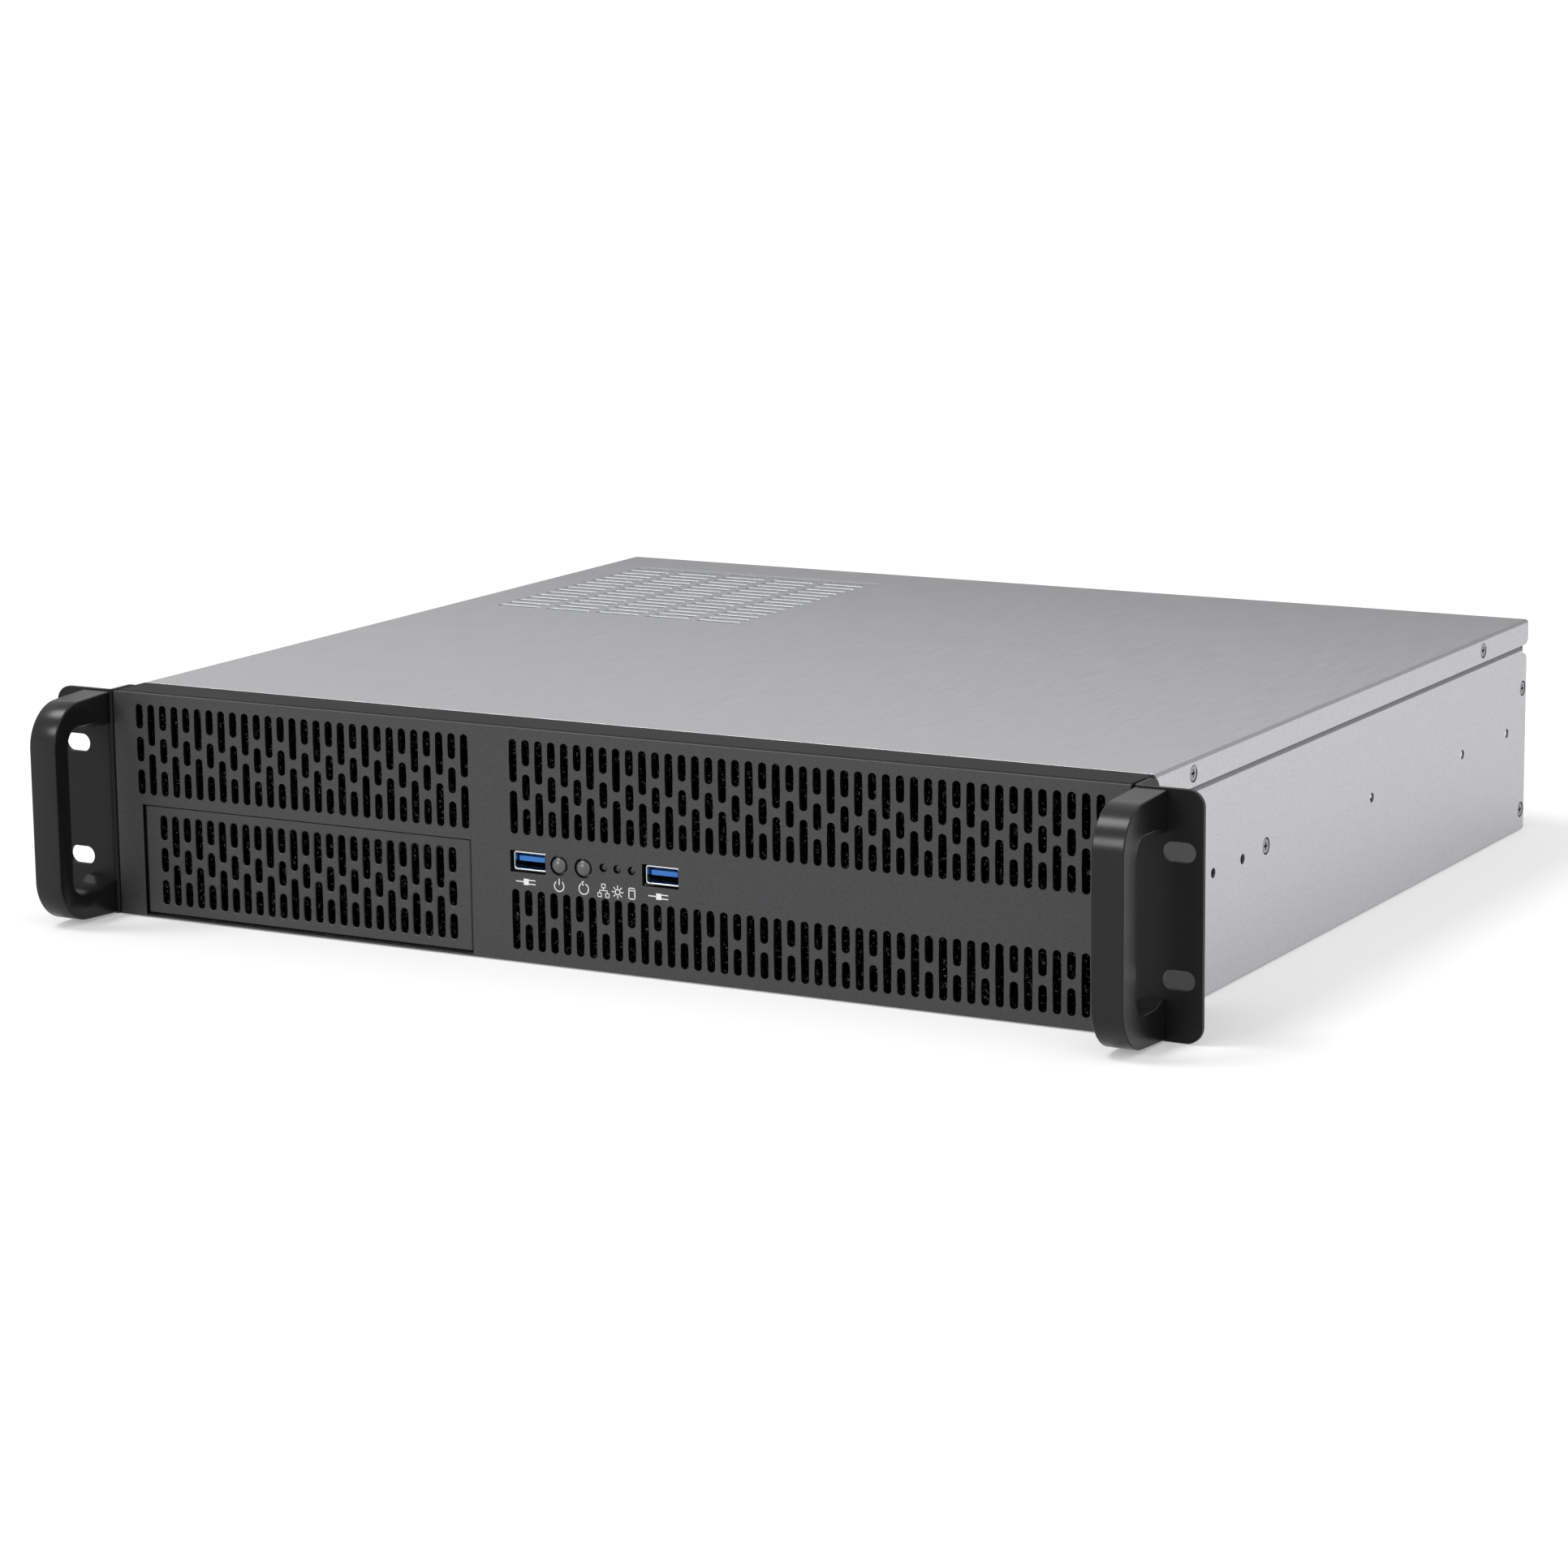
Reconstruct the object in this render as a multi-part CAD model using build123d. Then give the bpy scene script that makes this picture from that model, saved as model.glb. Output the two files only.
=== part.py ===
"""Empty two-unit rackmount server case, 390 mm deep.

A folded steel tub with a screwed top cover and rear wall carries a black front frame. The frame
holds a perforated front panel, foam dust filters, a bay cover and a small board with the front
keys, lamps and sockets. Black ears with moulded handles fix the case to a rack.

Lengths are in millimetres. X runs to the right seen from the front, Y runs back and Z up. While
it is built, the front panel's face lies at Y = 0 and the floor at Z = 0. The finished pieces are
then moved along Y, so that the origin is at the middle of the whole case's footprint.
"""
import math
import os

from build123d import *

# Whole case
BODY_WIDTH = 430.0
BODY_DEPTH = 390.0
BODY_HEIGHT = 88.0
SHEET = 1.0
BEND = 1.6
TUB_BEND = 1.2
SEAT_GAP = 0.1
SLIP_GAP = 0.3

# Small rounds that no screw of another part goes through have few sides, to keep the case light
SMALL_SIDES = 8

# Tub, with its upper walls stepped in so that the cover lies flush
SHOULDER_DROP = 12.0
SHOULDER_RISE = 1.6
TUB_LIP = 3.2
REAR_BEND_SHOWN = 1.6
NECK_NOTCH = 4.5
CORNER_ROUND = 3.0
RAIL_HOLE = 3.8
RAIL_HOLES_FROM_FRONT = (68.5, 94.5, 218.5)
RAIL_HOLES_FROM_REAR = (74.5, 23.5)
RAIL_HOLE_Z = 44.0

# Top cover
COVER_DROP = 10.0
COVER_SCREW_FROM_FRONT = 51.0
COVER_SCREW_FROM_REAR = 52.5
COVER_SCREW_DROP = 5.1
TONGUE_REACH = 12.0
TONGUE_SIDE_GAP = 6.0
VENT_COLUMNS = 5
VENT_ROWS = 16
VENT_LENGTH = 20.6
VENT_WIDTH = 3.2
VENT_PITCH_X = 24.5
VENT_PITCH_Y = 7.7
VENT_SHIFT_X = 0.2
VENT_FROM_REAR = 89.0

# Countersunk screws of the cover, rear wall and fan wall
SCREW_HEAD_DIAMETER = 6.0
SCREW_SHANK_DIAMETER = 3.0
SCREW_LENGTH = 6.0
SCREW_GAP = 0.1

# Front panel and its slots
PANEL_INSET_X = 0.7
PANEL_SHEET = 1.5
PANEL_INSET_Z = 0.3
SLOT_WIDTH = 3.0
SLOT_PITCH = 5.5
SLOT_WEB = 3.3
UPPER_BAND_LOW = 48.4
UPPER_BAND_DROP = 4.5
LOWER_BAND = (5.0, 27.5)
GRILLE_LEFT_EDGE = 12.1
GRILLE_OVER_BAY_EDGE = 1.6
GRILLE_BESIDE_BAY = 19.5
GRILLE_RIGHT_EDGE = 11.8

# Bay cover, for one 5.25 inch drive
BAY_EDGE = 14.2
BAY_WIDTH = 148.0
BAY_LOW = 2.2
BAY_HEIGHT = 41.8
BAY_GAP_LEFT = 1.5
BAY_GAP_RIGHT = 0.5
BAY_GAP_Z = 0.4
BAY_SILL_GAP = 1.2
BAY_BAND = (5.9, 40.5)
BAY_SLOT_MARGIN = 8.0
BAY_TAB_DEPTH = 12.0
BAY_TAB_HEIGHT = 26.0

# Front frame
FRAME_HALF_GAP = 0.2
FRAME_TOP_DEPTH = 19.5
FRAME_LOW_DEPTH = 16.0
FRAME_SIDE_DEPTH = 15.0
FRAME_FOOT = 0.1
WINDOW_EDGE = 3.0
FOAM_DEPTH = 5.0

# Front keys, lamps and sockets, with their places from the middle of the group
CONTROLS_BESIDE_BAY = 52.8
CONTROL_Z = 38.1
SOCKET_PLACES = (-27.65, 28.65)
SOCKET_CUT = (15.2, 8.1)
SOCKET_SHELL = (13.3, 5.9)
SOCKET_LIP = (14.3, 7.0)
SOCKET_WALL = 0.4
SOCKET_INSET = 1.6
TONGUE_SIZE = (11.1, 1.9)
TONGUE_INSET = 3.0
TONGUE_LIFT = 0.6
KEY_PLACES = (-14.3, -3.9)
KEY_HOLE = 7.4
KEY_CAP = 5.8
KEY_PROUD = 1.3
KEY_DOME = 0.7
KEY_DOME_EDGE = 1.4
KEY_RIM = 9.0
KEY_RIM_WIDTH = 5.0
KEY_RIM_SHEET = 0.8
KEY_STEM = 3.0
KEY_TRAVEL = 1.0
SWITCH_SIDE = 6.2
SWITCH_DEPTH = 4.0
PLUNGER = 3.4
PLUNGER_GAP = 0.1
PLUNGER_HOLD = 1.5
LAMP_PLACES = (4.6, 10.5, 16.6)
LAMP_Z = 39.1
LAMP_HOLE = 3.2
LAMP_GAP = 0.15
LAMP_INSET = 0.6
BOARD_Y = 14.0
BOARD_SHEET = 1.6
BOARD_WIDTH = 93.0
BOARD_SHIFT_X = 0.5
BOARD_LOW = 31.5
BOARD_HIGH = 44.5
POST_HEX = 5.5
POST_INSET = 1.0

# Ears
EAR_REACH = 26.3
EAR_SHEET = 2.0
EAR_ROUND = 6.0
EAR_BEND = 2.6
RACK_SLOT_INSET = 8.75
RACK_SLOT_Z = 44.45
RACK_SLOT_LENGTH = 12.0
RACK_SLOT_WIDTH = 7.0
EAR_LEG_DEPTH = 50.0
EAR_LEG_DROP = 1.5
EAR_HORN_DEPTH = 18.0
EAR_HORN_ROUND = 5.0

# Handles
HANDLE_GAP = 1.0
HANDLE_WIDTH = 12.0
HANDLE_REACH = 35.0
HANDLE_SLOPE = 1.8
HANDLE_ROUND = 16.0
GRIP_DEPTH = 8.3
LEG_HEIGHT = 10.6
ROOT_HEIGHT = 12.6
ROOT_DEPTH = 4.0
ROOT_RAMP = 5.0
FINGER_ROUND = 7.0
FINGER_DRAFT = 10.0
HANDLE_INSET_Z = 0.5
HANDLE_EDGE = 0.7

# Drive cage
CAGE_GAP = 0.3
CAGE_OVER_BAY = 1.0
CAGE_START = 4.5
CAGE_DEPTH = 170.0
CAGE_FOOT = 10.0
CAGE_HOLE_LENGTH = 9.0
CAGE_HOLE_WIDTH = 3.4
CAGE_HOLE_DEPTHS = (60.0, 139.0)
CAGE_HOLE_HEIGHT = 22.0

# Fan wall
FAN_WALL_Y = 110.0
FAN_WALL_BESIDE_BAY = 12.8
FAN_WALL_DROP = 2.0
FAN_FLANGE = 12.0
FAN_EDGE = 4.5
FAN_BORE_SIDES = 24
FAN_FIRST = 80.0
FAN_PITCH = 110.0
FAN_LAST_ROOM = 42.0

# Rear wall, seen from the front
REAR_FLANGE = 12.0
REAR_FLANGE_DROP = 3.0
IO_WIDTH = 158.75
IO_HEIGHT = 44.45
IO_EDGE = 5.05
IO_LOW = 6.9
CARD_PITCH = 20.32
CARD_BESIDE_IO = 15.5
CARD_BESIDE_SUPPLY = 22.0
CARD_EDGE = 2.0
CARD_OPENING = 13.5
CARD_LOW = 13.0
POCKET_DEPTH = 12.0
POCKET_FLOOR_Z = 9.0
LEDGE_DROP = 4.5
REAR_VENT_COUNT = 14
REAR_VENT_PITCH = 11.2
REAR_VENT_WIDTH = 4.0
REAR_VENT_LOW = 57.5
REAR_VENT_DROP = 8.0
SUPPLY_WIDTH = 150.0
SUPPLY_DEPTH = 140.0
SUPPLY_EDGE = 4.5
SUPPLY_RIM_X = 11.0
SUPPLY_RIM_Z = 12.0
SUPPLY_HOLE_DIAMETER = 4.0
SUPPLY_HOLE_EDGE = 6.0
SUPPLY_HOLE_DROP = 10.0
SUPPLY_HOLE_SHIFT = 24.0

# Slot blanks
BLANK_WIDTH = 18.4
BLANK_SHEET = 0.8
BLANK_LOW = 11.0
BLANK_NOTCH = 4.4

# Board stand-offs
STANDOFF_HEIGHT = 6.5
STANDOFF_HEX = 5.0
BOARD_EDGE = 1.95
STANDOFF_FROM_EDGE = (6.35, 163.83, 209.55)
STANDOFF_FROM_REAR = (10.16, 165.1, 237.49)
BOARD_REAR_GAP = 3.0

# Power supply rest
REST_HEIGHT = 60.0
REST_DEPTH = 60.0
REST_FOOT = 12.0
REST_GAP = 1.0

# Sizes that follow
HALF_WIDTH = BODY_WIDTH / 2
SHOULDER_Z = BODY_HEIGHT - SHOULDER_DROP
NECK_X = HALF_WIDTH - SHEET - SEAT_GAP
INNER_X = HALF_WIDTH - SHEET
COVER_Z = BODY_HEIGHT - SHEET
LIP_TOP = COVER_Z - SEAT_GAP
TUB_REAR = BODY_DEPTH - REAR_BEND_SHOWN
REAR_Y = BODY_DEPTH - SHEET
PANEL_HALF = HALF_WIDTH - PANEL_INSET_X
PANEL_BACK = PANEL_SHEET
FRAME_BACK = PANEL_BACK + SHEET
FRAME_HALF = INNER_X - FRAME_HALF_GAP
TUB_FRONT = PANEL_BACK + SEAT_GAP
COVER_FRONT = FRAME_TOP_DEPTH + SLIP_GAP
COVER_SCREW_Z = BODY_HEIGHT - COVER_SCREW_DROP
COVER_SCREW_DEPTHS = (COVER_SCREW_FROM_FRONT, BODY_DEPTH - COVER_SCREW_FROM_REAR)
RAIL_HOLE_DEPTHS = RAIL_HOLES_FROM_FRONT + tuple(BODY_DEPTH - y for y in RAIL_HOLES_FROM_REAR)
BAY_LEFT = -HALF_WIDTH + BAY_EDGE
BAY_RIGHT = BAY_LEFT + BAY_WIDTH
BAY_HIGH = BAY_LOW + BAY_HEIGHT
UPPER_BAND = (UPPER_BAND_LOW, BODY_HEIGHT - UPPER_BAND_DROP)
LEFT_SPAN = (-HALF_WIDTH + GRILLE_LEFT_EDGE, BAY_RIGHT - GRILLE_OVER_BAY_EDGE)
RIGHT_SPAN = (BAY_RIGHT + GRILLE_BESIDE_BAY, HALF_WIDTH - GRILLE_RIGHT_EDGE)
CONTROLS_X = BAY_RIGHT + CONTROLS_BESIDE_BAY
SOCKET_X = [CONTROLS_X + place for place in SOCKET_PLACES]
KEY_X = [CONTROLS_X + place for place in KEY_PLACES]
LAMP_X = [CONTROLS_X + place for place in LAMP_PLACES]
BOARD_X = CONTROLS_X + BOARD_SHIFT_X
EAR_X = HALF_WIDTH + EAR_REACH
EAR_LEG_TOP = SHOULDER_Z - EAR_LEG_DROP
HANDLE_X = HALF_WIDTH + HANDLE_GAP
CAGE_TOP = BAY_HIGH + CAGE_OVER_BAY
FAN_WALL_LEFT = BAY_RIGHT + FAN_WALL_BESIDE_BAY
FAN_WALL_TOP = BODY_HEIGHT - FAN_WALL_DROP
FAN_BORE = FAN_WALL_TOP - SHEET - 2 * FAN_EDGE
FAN_CENTRE_Z = (FAN_WALL_TOP + SHEET) / 2
REAR_HALF = INNER_X - SEAT_GAP
REAR_FLANGE_TOP = SHOULDER_Z - REAR_FLANGE_DROP
LEDGE_TOP = BODY_HEIGHT - LEDGE_DROP
SUPPLY_LEFT = -HALF_WIDTH + SUPPLY_EDGE
SUPPLY_RIGHT = SUPPLY_LEFT + SUPPLY_WIDTH
SUPPLY_X = SUPPLY_LEFT + SUPPLY_WIDTH / 2
SUPPLY_LOW = SHEET
SUPPLY_HIGH = COVER_Z
IO_RIGHT = HALF_WIDTH - IO_EDGE
IO_LEFT = IO_RIGHT - IO_WIDTH
POCKET_Y = BODY_DEPTH - POCKET_DEPTH - SHEET
ORIGIN_Y = (BODY_DEPTH - HANDLE_REACH) / 2
CUT = 1.0


# Drawing helpers

def block(x, y, z):
    """Box between the low and high value of each axis."""
    sizes = [high - low for low, high in (x, y, z)]
    centre = [(high + low) / 2 for low, high in (x, y, z)]
    return Pos(*centre) * Box(*sizes)


def centred(size, middle=0.0):
    """Low and high value of a size about its middle."""
    return (middle - size / 2, middle + size / 2)


def across(y):
    """Plane across the case at depth y: its own x is X and its own y is Z."""
    return Plane(origin=(0, y, 0), x_dir=(1, 0, 0), z_dir=(0, -1, 0))


def along(x):
    """Plane along the case at X = x: its own x is Y and its own y is Z."""
    return Plane(origin=(x, 0, 0), x_dir=(0, 1, 0), z_dir=(1, 0, 0))


def backwards(sketch, y, depth):
    """Sketch across the case, made solid from depth y towards the rear."""
    return extrude(across(y) * sketch, amount=-depth)


def rightwards(sketch, x, width):
    """Sketch along the case, made solid from X = x to the right."""
    return extrude(along(x) * sketch, amount=width)


def upwards(sketch, z, height):
    """Sketch on plan, made solid from height z upwards."""
    return extrude(Plane.XY.offset(z) * sketch, amount=height)


def folded(points, side, bend=BEND, sheet=SHEET):
    """Section of a folded sheet whose outer face follows the points."""
    path = FilletPolyline(*points, radius=bend) if bend else Polyline(*points)
    return make_face(offset(path, amount=sheet, side=side, kind=Kind.INTERSECTION).edges())


def small_round(diameter):
    """Section of a small hole, lamp or screw, with few sides."""
    return RegularPolygon(diameter / 2, SMALL_SIDES)


def mirrored(piece):
    """The same piece on the other side of the case."""
    return mirror(piece, about=Plane.YZ)


def side_drill(diameter, depths, z):
    """Cutters of round holes through the right wall."""
    drill = Circle(diameter / 2)
    return [rightwards(Pos(y, z) * drill, INNER_X - CUT, SHEET + 2 * CUT) for y in depths]


def side_screw(y, z, gap=0.0):
    """Countersunk screw in the right wall, its head flush, or the cutter that seats it."""
    head, shank = small_round(SCREW_HEAD_DIAMETER + 2 * gap), small_round(SCREW_SHANK_DIAMETER + 2 * gap)
    screw = loft([head, Plane.XY.offset(-SHEET) * shank], ruled=True)
    screw += extrude(Plane.XY.offset(-SHEET) * shank, amount=SHEET - SCREW_LENGTH)
    return Pos(HALF_WIDTH, y, z) * Rot(0, 90, 0) * screw


def slot_column(x, band, count):
    """Slots above each other that fill a band, with a web between them."""
    low, high = band
    length = (high - low - SLOT_WEB * (count - 1)) / count
    return [
        Pos(x, low + length / 2 + (length + SLOT_WEB) * k) * Rectangle(SLOT_WIDTH, length)
        for k in range(count)
    ]


def places(first, last, pitch):
    """Evenly pitched places from the first to the last that still fits."""
    tolerance = pitch / 100
    count = int((last - first + tolerance) / pitch) + 1
    return [first + pitch * k for k in range(max(count, 1))]


def grille(span, band, counts):
    """Columns of slots that take turns between two counts; square ends keep the faces few."""
    slots = []
    for k, x in enumerate(places(*span, SLOT_PITCH)):
        slots += slot_column(x, band, counts[k % 2])
    return Sketch() + slots


# Body

def chassis_base():
    """Tub: floor and side walls, stepped in above the shoulder, with lips under the cover."""
    right = [
        (HALF_WIDTH, 0),
        (HALF_WIDTH, SHOULDER_Z),
        (NECK_X, SHOULDER_Z + SHOULDER_RISE),
        (NECK_X, LIP_TOP),
        (NECK_X - TUB_LIP, LIP_TOP),
    ]
    outline = [(-x, z) for x, z in reversed(right)] + right
    tub = backwards(folded(outline, Side.LEFT, TUB_BEND), TUB_FRONT, TUB_REAR - TUB_FRONT)
    wide, above = (-HALF_WIDTH - CUT, HALF_WIDTH + CUT), (SHOULDER_Z - BEND, BODY_HEIGHT + CUT)
    tub -= block(wide, (TUB_FRONT - CUT, COVER_FRONT), above)
    tub -= block(wide, (TUB_REAR - NECK_NOTCH, TUB_REAR + CUT), above)
    corners = tub.edges().filter_by(Axis.X).filter_by_position(Axis.Y, TUB_REAR - 0.1, TUB_REAR + 0.1)
    tub = fillet(corners.filter_by_position(Axis.Z, SHOULDER_Z - 2 * BEND, SHOULDER_Z), CORNER_ROUND)
    cutters = side_drill(RAIL_HOLE, RAIL_HOLE_DEPTHS, RAIL_HOLE_Z)
    cutters += [side_screw(y, COVER_SCREW_Z, SCREW_GAP) for y in COVER_SCREW_DEPTHS]
    cutters += [mirrored(cutter) for cutter in cutters]
    return tub - cutters


def cover_vents():
    """Field of narrow vents over the power supply."""
    field = GridLocations(VENT_PITCH_X, VENT_PITCH_Y, VENT_COLUMNS, VENT_ROWS)
    middle = Pos(SUPPLY_X + VENT_SHIFT_X, BODY_DEPTH - VENT_FROM_REAR)
    return Sketch() + [middle * place * Rectangle(VENT_LENGTH, VENT_WIDTH) for place in field]


def top_cover():
    """Cover with two side flanges and a tongue that slips under the front frame's top."""
    low = BODY_HEIGHT - COVER_DROP
    outline = [(-HALF_WIDTH, low), (-HALF_WIDTH, BODY_HEIGHT), (HALF_WIDTH, BODY_HEIGHT), (HALF_WIDTH, low)]
    cover = backwards(folded(outline, Side.RIGHT), COVER_FRONT, BODY_DEPTH - COVER_FRONT)
    corners = cover.edges().filter_by(Axis.X).filter_by_position(Axis.Z, low - 0.1, low + 0.1)
    cover = fillet(corners.filter_by_position(Axis.Y, BODY_DEPTH - 0.1, BODY_DEPTH + 0.1), CORNER_ROUND)
    tongue_half = NECK_X - TUB_LIP - TONGUE_SIDE_GAP
    tongue_top = COVER_Z - SEAT_GAP
    step = [
        (COVER_FRONT - TONGUE_REACH, tongue_top),
        (COVER_FRONT + SHEET, tongue_top),
        (COVER_FRONT + SHEET, COVER_Z),
        (COVER_FRONT + 3 * SHEET, COVER_Z),
        (COVER_FRONT + 3 * SHEET, tongue_top - SHEET),
        (COVER_FRONT - TONGUE_REACH, tongue_top - SHEET),
    ]
    cover += rightwards(make_face(Polyline(*step, close=True)), -tongue_half, 2 * tongue_half)
    cover -= upwards(cover_vents(), COVER_Z - CUT, SHEET + 2 * CUT)
    seats = [side_screw(y, COVER_SCREW_Z, SCREW_GAP) for y in COVER_SCREW_DEPTHS]
    return cover - seats - [mirrored(seat) for seat in seats]


def supply_holes():
    """Centres of the four power supply screws on the rear wall, as X and Z."""
    left, right = widened((SUPPLY_LEFT, SUPPLY_RIGHT), -SUPPLY_HOLE_EDGE)
    low, high = widened((SUPPLY_LOW, SUPPLY_HIGH), -SUPPLY_HOLE_EDGE)
    return [(left, low), (right, low), (right, high - SUPPLY_HOLE_DROP), (left + SUPPLY_HOLE_SHIFT, high)]


def card_places():
    """Middles of the card slots, from the board opening towards the power supply."""
    return [-x for x in places(CARD_BESIDE_IO - IO_LEFT, -SUPPLY_RIGHT - CARD_BESIDE_SUPPLY, CARD_PITCH)]


def pocket_span():
    """Low and high X of the recess that takes the card slots."""
    cards = card_places()
    return widened((cards[-1], cards[0]), BLANK_WIDTH / 2 + CARD_EDGE)


def slot_pocket():
    """Recess that takes the card slots, with the ledge that the slot blanks hang on."""
    x_span, y = pocket_span(), (POCKET_Y, BODY_DEPTH)
    wall = block(x_span, (POCKET_Y, POCKET_Y + SHEET), (POCKET_FLOOR_Z, LEDGE_TOP))
    for x in card_places():
        opening = (x - CARD_OPENING / 2, x + CARD_OPENING / 2)
        wall -= block(opening, (POCKET_Y - CUT, POCKET_Y + SHEET + CUT), (CARD_LOW, LEDGE_TOP - 2 * SHEET))
    floor = block(x_span, y, (POCKET_FLOOR_Z, POCKET_FLOOR_Z + SHEET))
    ledge = block(x_span, y, (LEDGE_TOP - SHEET, LEDGE_TOP))
    sides = block(widened(x_span, SHEET), y, (POCKET_FLOOR_Z, LEDGE_TOP))
    sides -= block(x_span, widened(y, CUT), (0, BODY_HEIGHT))
    return wall + floor + ledge + sides


def rear_panel():
    """Rear wall with side flanges, board opening, supply opening, vents and the slot pocket."""
    front = BODY_DEPTH - REAR_FLANGE
    outline = [(-REAR_HALF, front), (-REAR_HALF, BODY_DEPTH), (REAR_HALF, BODY_DEPTH), (REAR_HALF, front)]
    low = SHEET + SEAT_GAP
    wall = upwards(folded(outline, Side.RIGHT), low, REAR_FLANGE_TOP - low)
    neck = NECK_X - SHEET - SEAT_GAP
    wall += block((-neck, neck), (REAR_Y, BODY_DEPTH), (REAR_FLANGE_TOP, LIP_TOP))
    top_half = NECK_X - TUB_LIP - SLIP_GAP
    wall += block((-top_half, top_half), (front, REAR_Y), (LIP_TOP - SHEET, LIP_TOP))
    wall += block((-top_half, top_half), (front, REAR_Y), (low, low + SHEET))
    supply = widened((SUPPLY_LEFT, SUPPLY_RIGHT), SLIP_GAP)
    wall -= block(supply, (front - CUT, REAR_Y), (0, BODY_HEIGHT))
    through = (front - CUT, BODY_DEPTH + CUT)
    wall -= block(pocket_span(), through, (POCKET_FLOOR_Z + SHEET, BODY_HEIGHT))
    wall += slot_pocket()
    wall_only = (REAR_Y - CUT, BODY_DEPTH + CUT)
    wall -= block((IO_LEFT, IO_RIGHT), wall_only, (IO_LOW, IO_LOW + IO_HEIGHT))
    window = widened((SUPPLY_LEFT, SUPPLY_RIGHT), -SUPPLY_RIM_X)
    wall -= block(window, wall_only, widened((SUPPLY_LOW, SUPPLY_HIGH), -SUPPLY_RIM_Z))
    holes = Sketch() + [Pos(x, z) * Circle(SUPPLY_HOLE_DIAMETER / 2) for x, z in supply_holes()]
    wall -= backwards(holes, REAR_Y - CUT, SHEET + 2 * CUT)
    low, high = REAR_VENT_LOW, BODY_HEIGHT - REAR_VENT_DROP
    middle = Pos((IO_LEFT + IO_RIGHT) / 2, (low + high) / 2)
    row = GridLocations(REAR_VENT_PITCH, 0, REAR_VENT_COUNT, 1)
    vents = Sketch() + [middle * place * Rectangle(REAR_VENT_WIDTH, high - low) for place in row]
    return wall - backwards(vents, REAR_Y - CUT, SHEET + 2 * CUT)


def slot_blank(x):
    """Blank of one card slot: a plate behind the opening and a tab on the ledge."""
    plate_back = POCKET_Y - SEAT_GAP
    tab_top = LEDGE_TOP + SEAT_GAP + BLANK_SHEET
    half = BLANK_WIDTH / 2
    plate = block((x - half, x + half), (plate_back - BLANK_SHEET, plate_back), (BLANK_LOW, tab_top))
    tab = block((x - half, x + half), (plate_back, BODY_DEPTH - CUT), (LEDGE_TOP + SEAT_GAP, tab_top))
    notch_front = (POCKET_Y + BODY_DEPTH) / 2
    notch = (x - BLANK_NOTCH / 2, x + BLANK_NOTCH / 2)
    tab -= block(notch, (notch_front, BODY_DEPTH), (LEDGE_TOP, tab_top + CUT))
    return plate + tab


# Front

def front_frame():
    """Black inner front wall with flanges; its windows hold the filters."""
    section = [
        (FRAME_LOW_DEPTH, SHEET + FRAME_FOOT),
        (PANEL_BACK, SHEET + FRAME_FOOT),
        (PANEL_BACK, BODY_HEIGHT),
        (FRAME_TOP_DEPTH, BODY_HEIGHT),
    ]
    frame = rightwards(folded(section, Side.RIGHT), -FRAME_HALF, 2 * FRAME_HALF)
    cheek = block(
        (FRAME_HALF - SHEET, FRAME_HALF),
        (FRAME_BACK - SHEET / 2, FRAME_SIDE_DEPTH),
        (SHEET + FRAME_FOOT + BEND, BODY_HEIGHT - BEND),
    )
    frame += [cheek, mirrored(cheek)]
    for window in windows():
        x, z = window
        frame -= block(x, (0, FRAME_BACK + CUT), z)
    return frame


def windows():
    """Windows of the front frame, as X and Z ranges: left, bay, right upper, right lower, keys."""
    left, right = LEFT_SPAN, RIGHT_SPAN
    upper = widened(UPPER_BAND, WINDOW_EDGE - 1)
    cutouts = (SOCKET_X[0] - SOCKET_CUT[0] / 2, SOCKET_X[1] + SOCKET_CUT[0] / 2)
    return [
        (widened(left, WINDOW_EDGE), upper),
        (widened((BAY_LEFT, BAY_RIGHT), BAY_GAP_RIGHT), (BAY_LOW + BEND, BAY_HIGH + BAY_GAP_Z)),
        (widened(right, WINDOW_EDGE), upper),
        (widened(right, WINDOW_EDGE), (LOWER_BAND[0] - CUT, LOWER_BAND[1] + WINDOW_EDGE)),
        (widened(cutouts, CUT), widened((CONTROL_Z - KEY_RIM / 2, CONTROL_Z + KEY_RIM / 2), CUT)),
    ]


def widened(span, edge):
    """Span with an edge added at both ends."""
    low, high = span
    return (low - edge, high + edge)


def foam_filter(window):
    """Foam pad that fills one window of the front frame."""
    x, z = window
    return block(widened(x, -SLIP_GAP), (PANEL_BACK + SLIP_GAP, PANEL_BACK + FOAM_DEPTH), widened(z, -SLIP_GAP))


def front_panel():
    """Perforated panel, with the openings of the bay, sockets, keys and lamps."""
    z = (PANEL_INSET_Z, BODY_HEIGHT - PANEL_INSET_Z)
    panel = block((-PANEL_HALF, PANEL_HALF), (0, PANEL_SHEET), z)
    holes = grille(LEFT_SPAN, UPPER_BAND, (3, 2))
    holes += grille(RIGHT_SPAN, UPPER_BAND, (2, 3))
    holes += grille(RIGHT_SPAN, LOWER_BAND, (1, 2))
    holes += [Pos(x, CONTROL_Z) * Rectangle(*SOCKET_CUT) for x in SOCKET_X]
    holes += [Pos(x, CONTROL_Z) * small_round(KEY_HOLE) for x in KEY_X]
    holes += [Pos(x, LAMP_Z) * small_round(LAMP_HOLE) for x in LAMP_X]
    panel -= backwards(holes, -CUT, PANEL_SHEET + 2 * CUT)
    return panel - block(
        (BAY_LEFT - BAY_GAP_LEFT, BAY_RIGHT + BAY_GAP_RIGHT),
        (-CUT, PANEL_SHEET + CUT),
        (BAY_LOW - BAY_SILL_GAP, BAY_HIGH + BAY_GAP_Z),
    )


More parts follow.
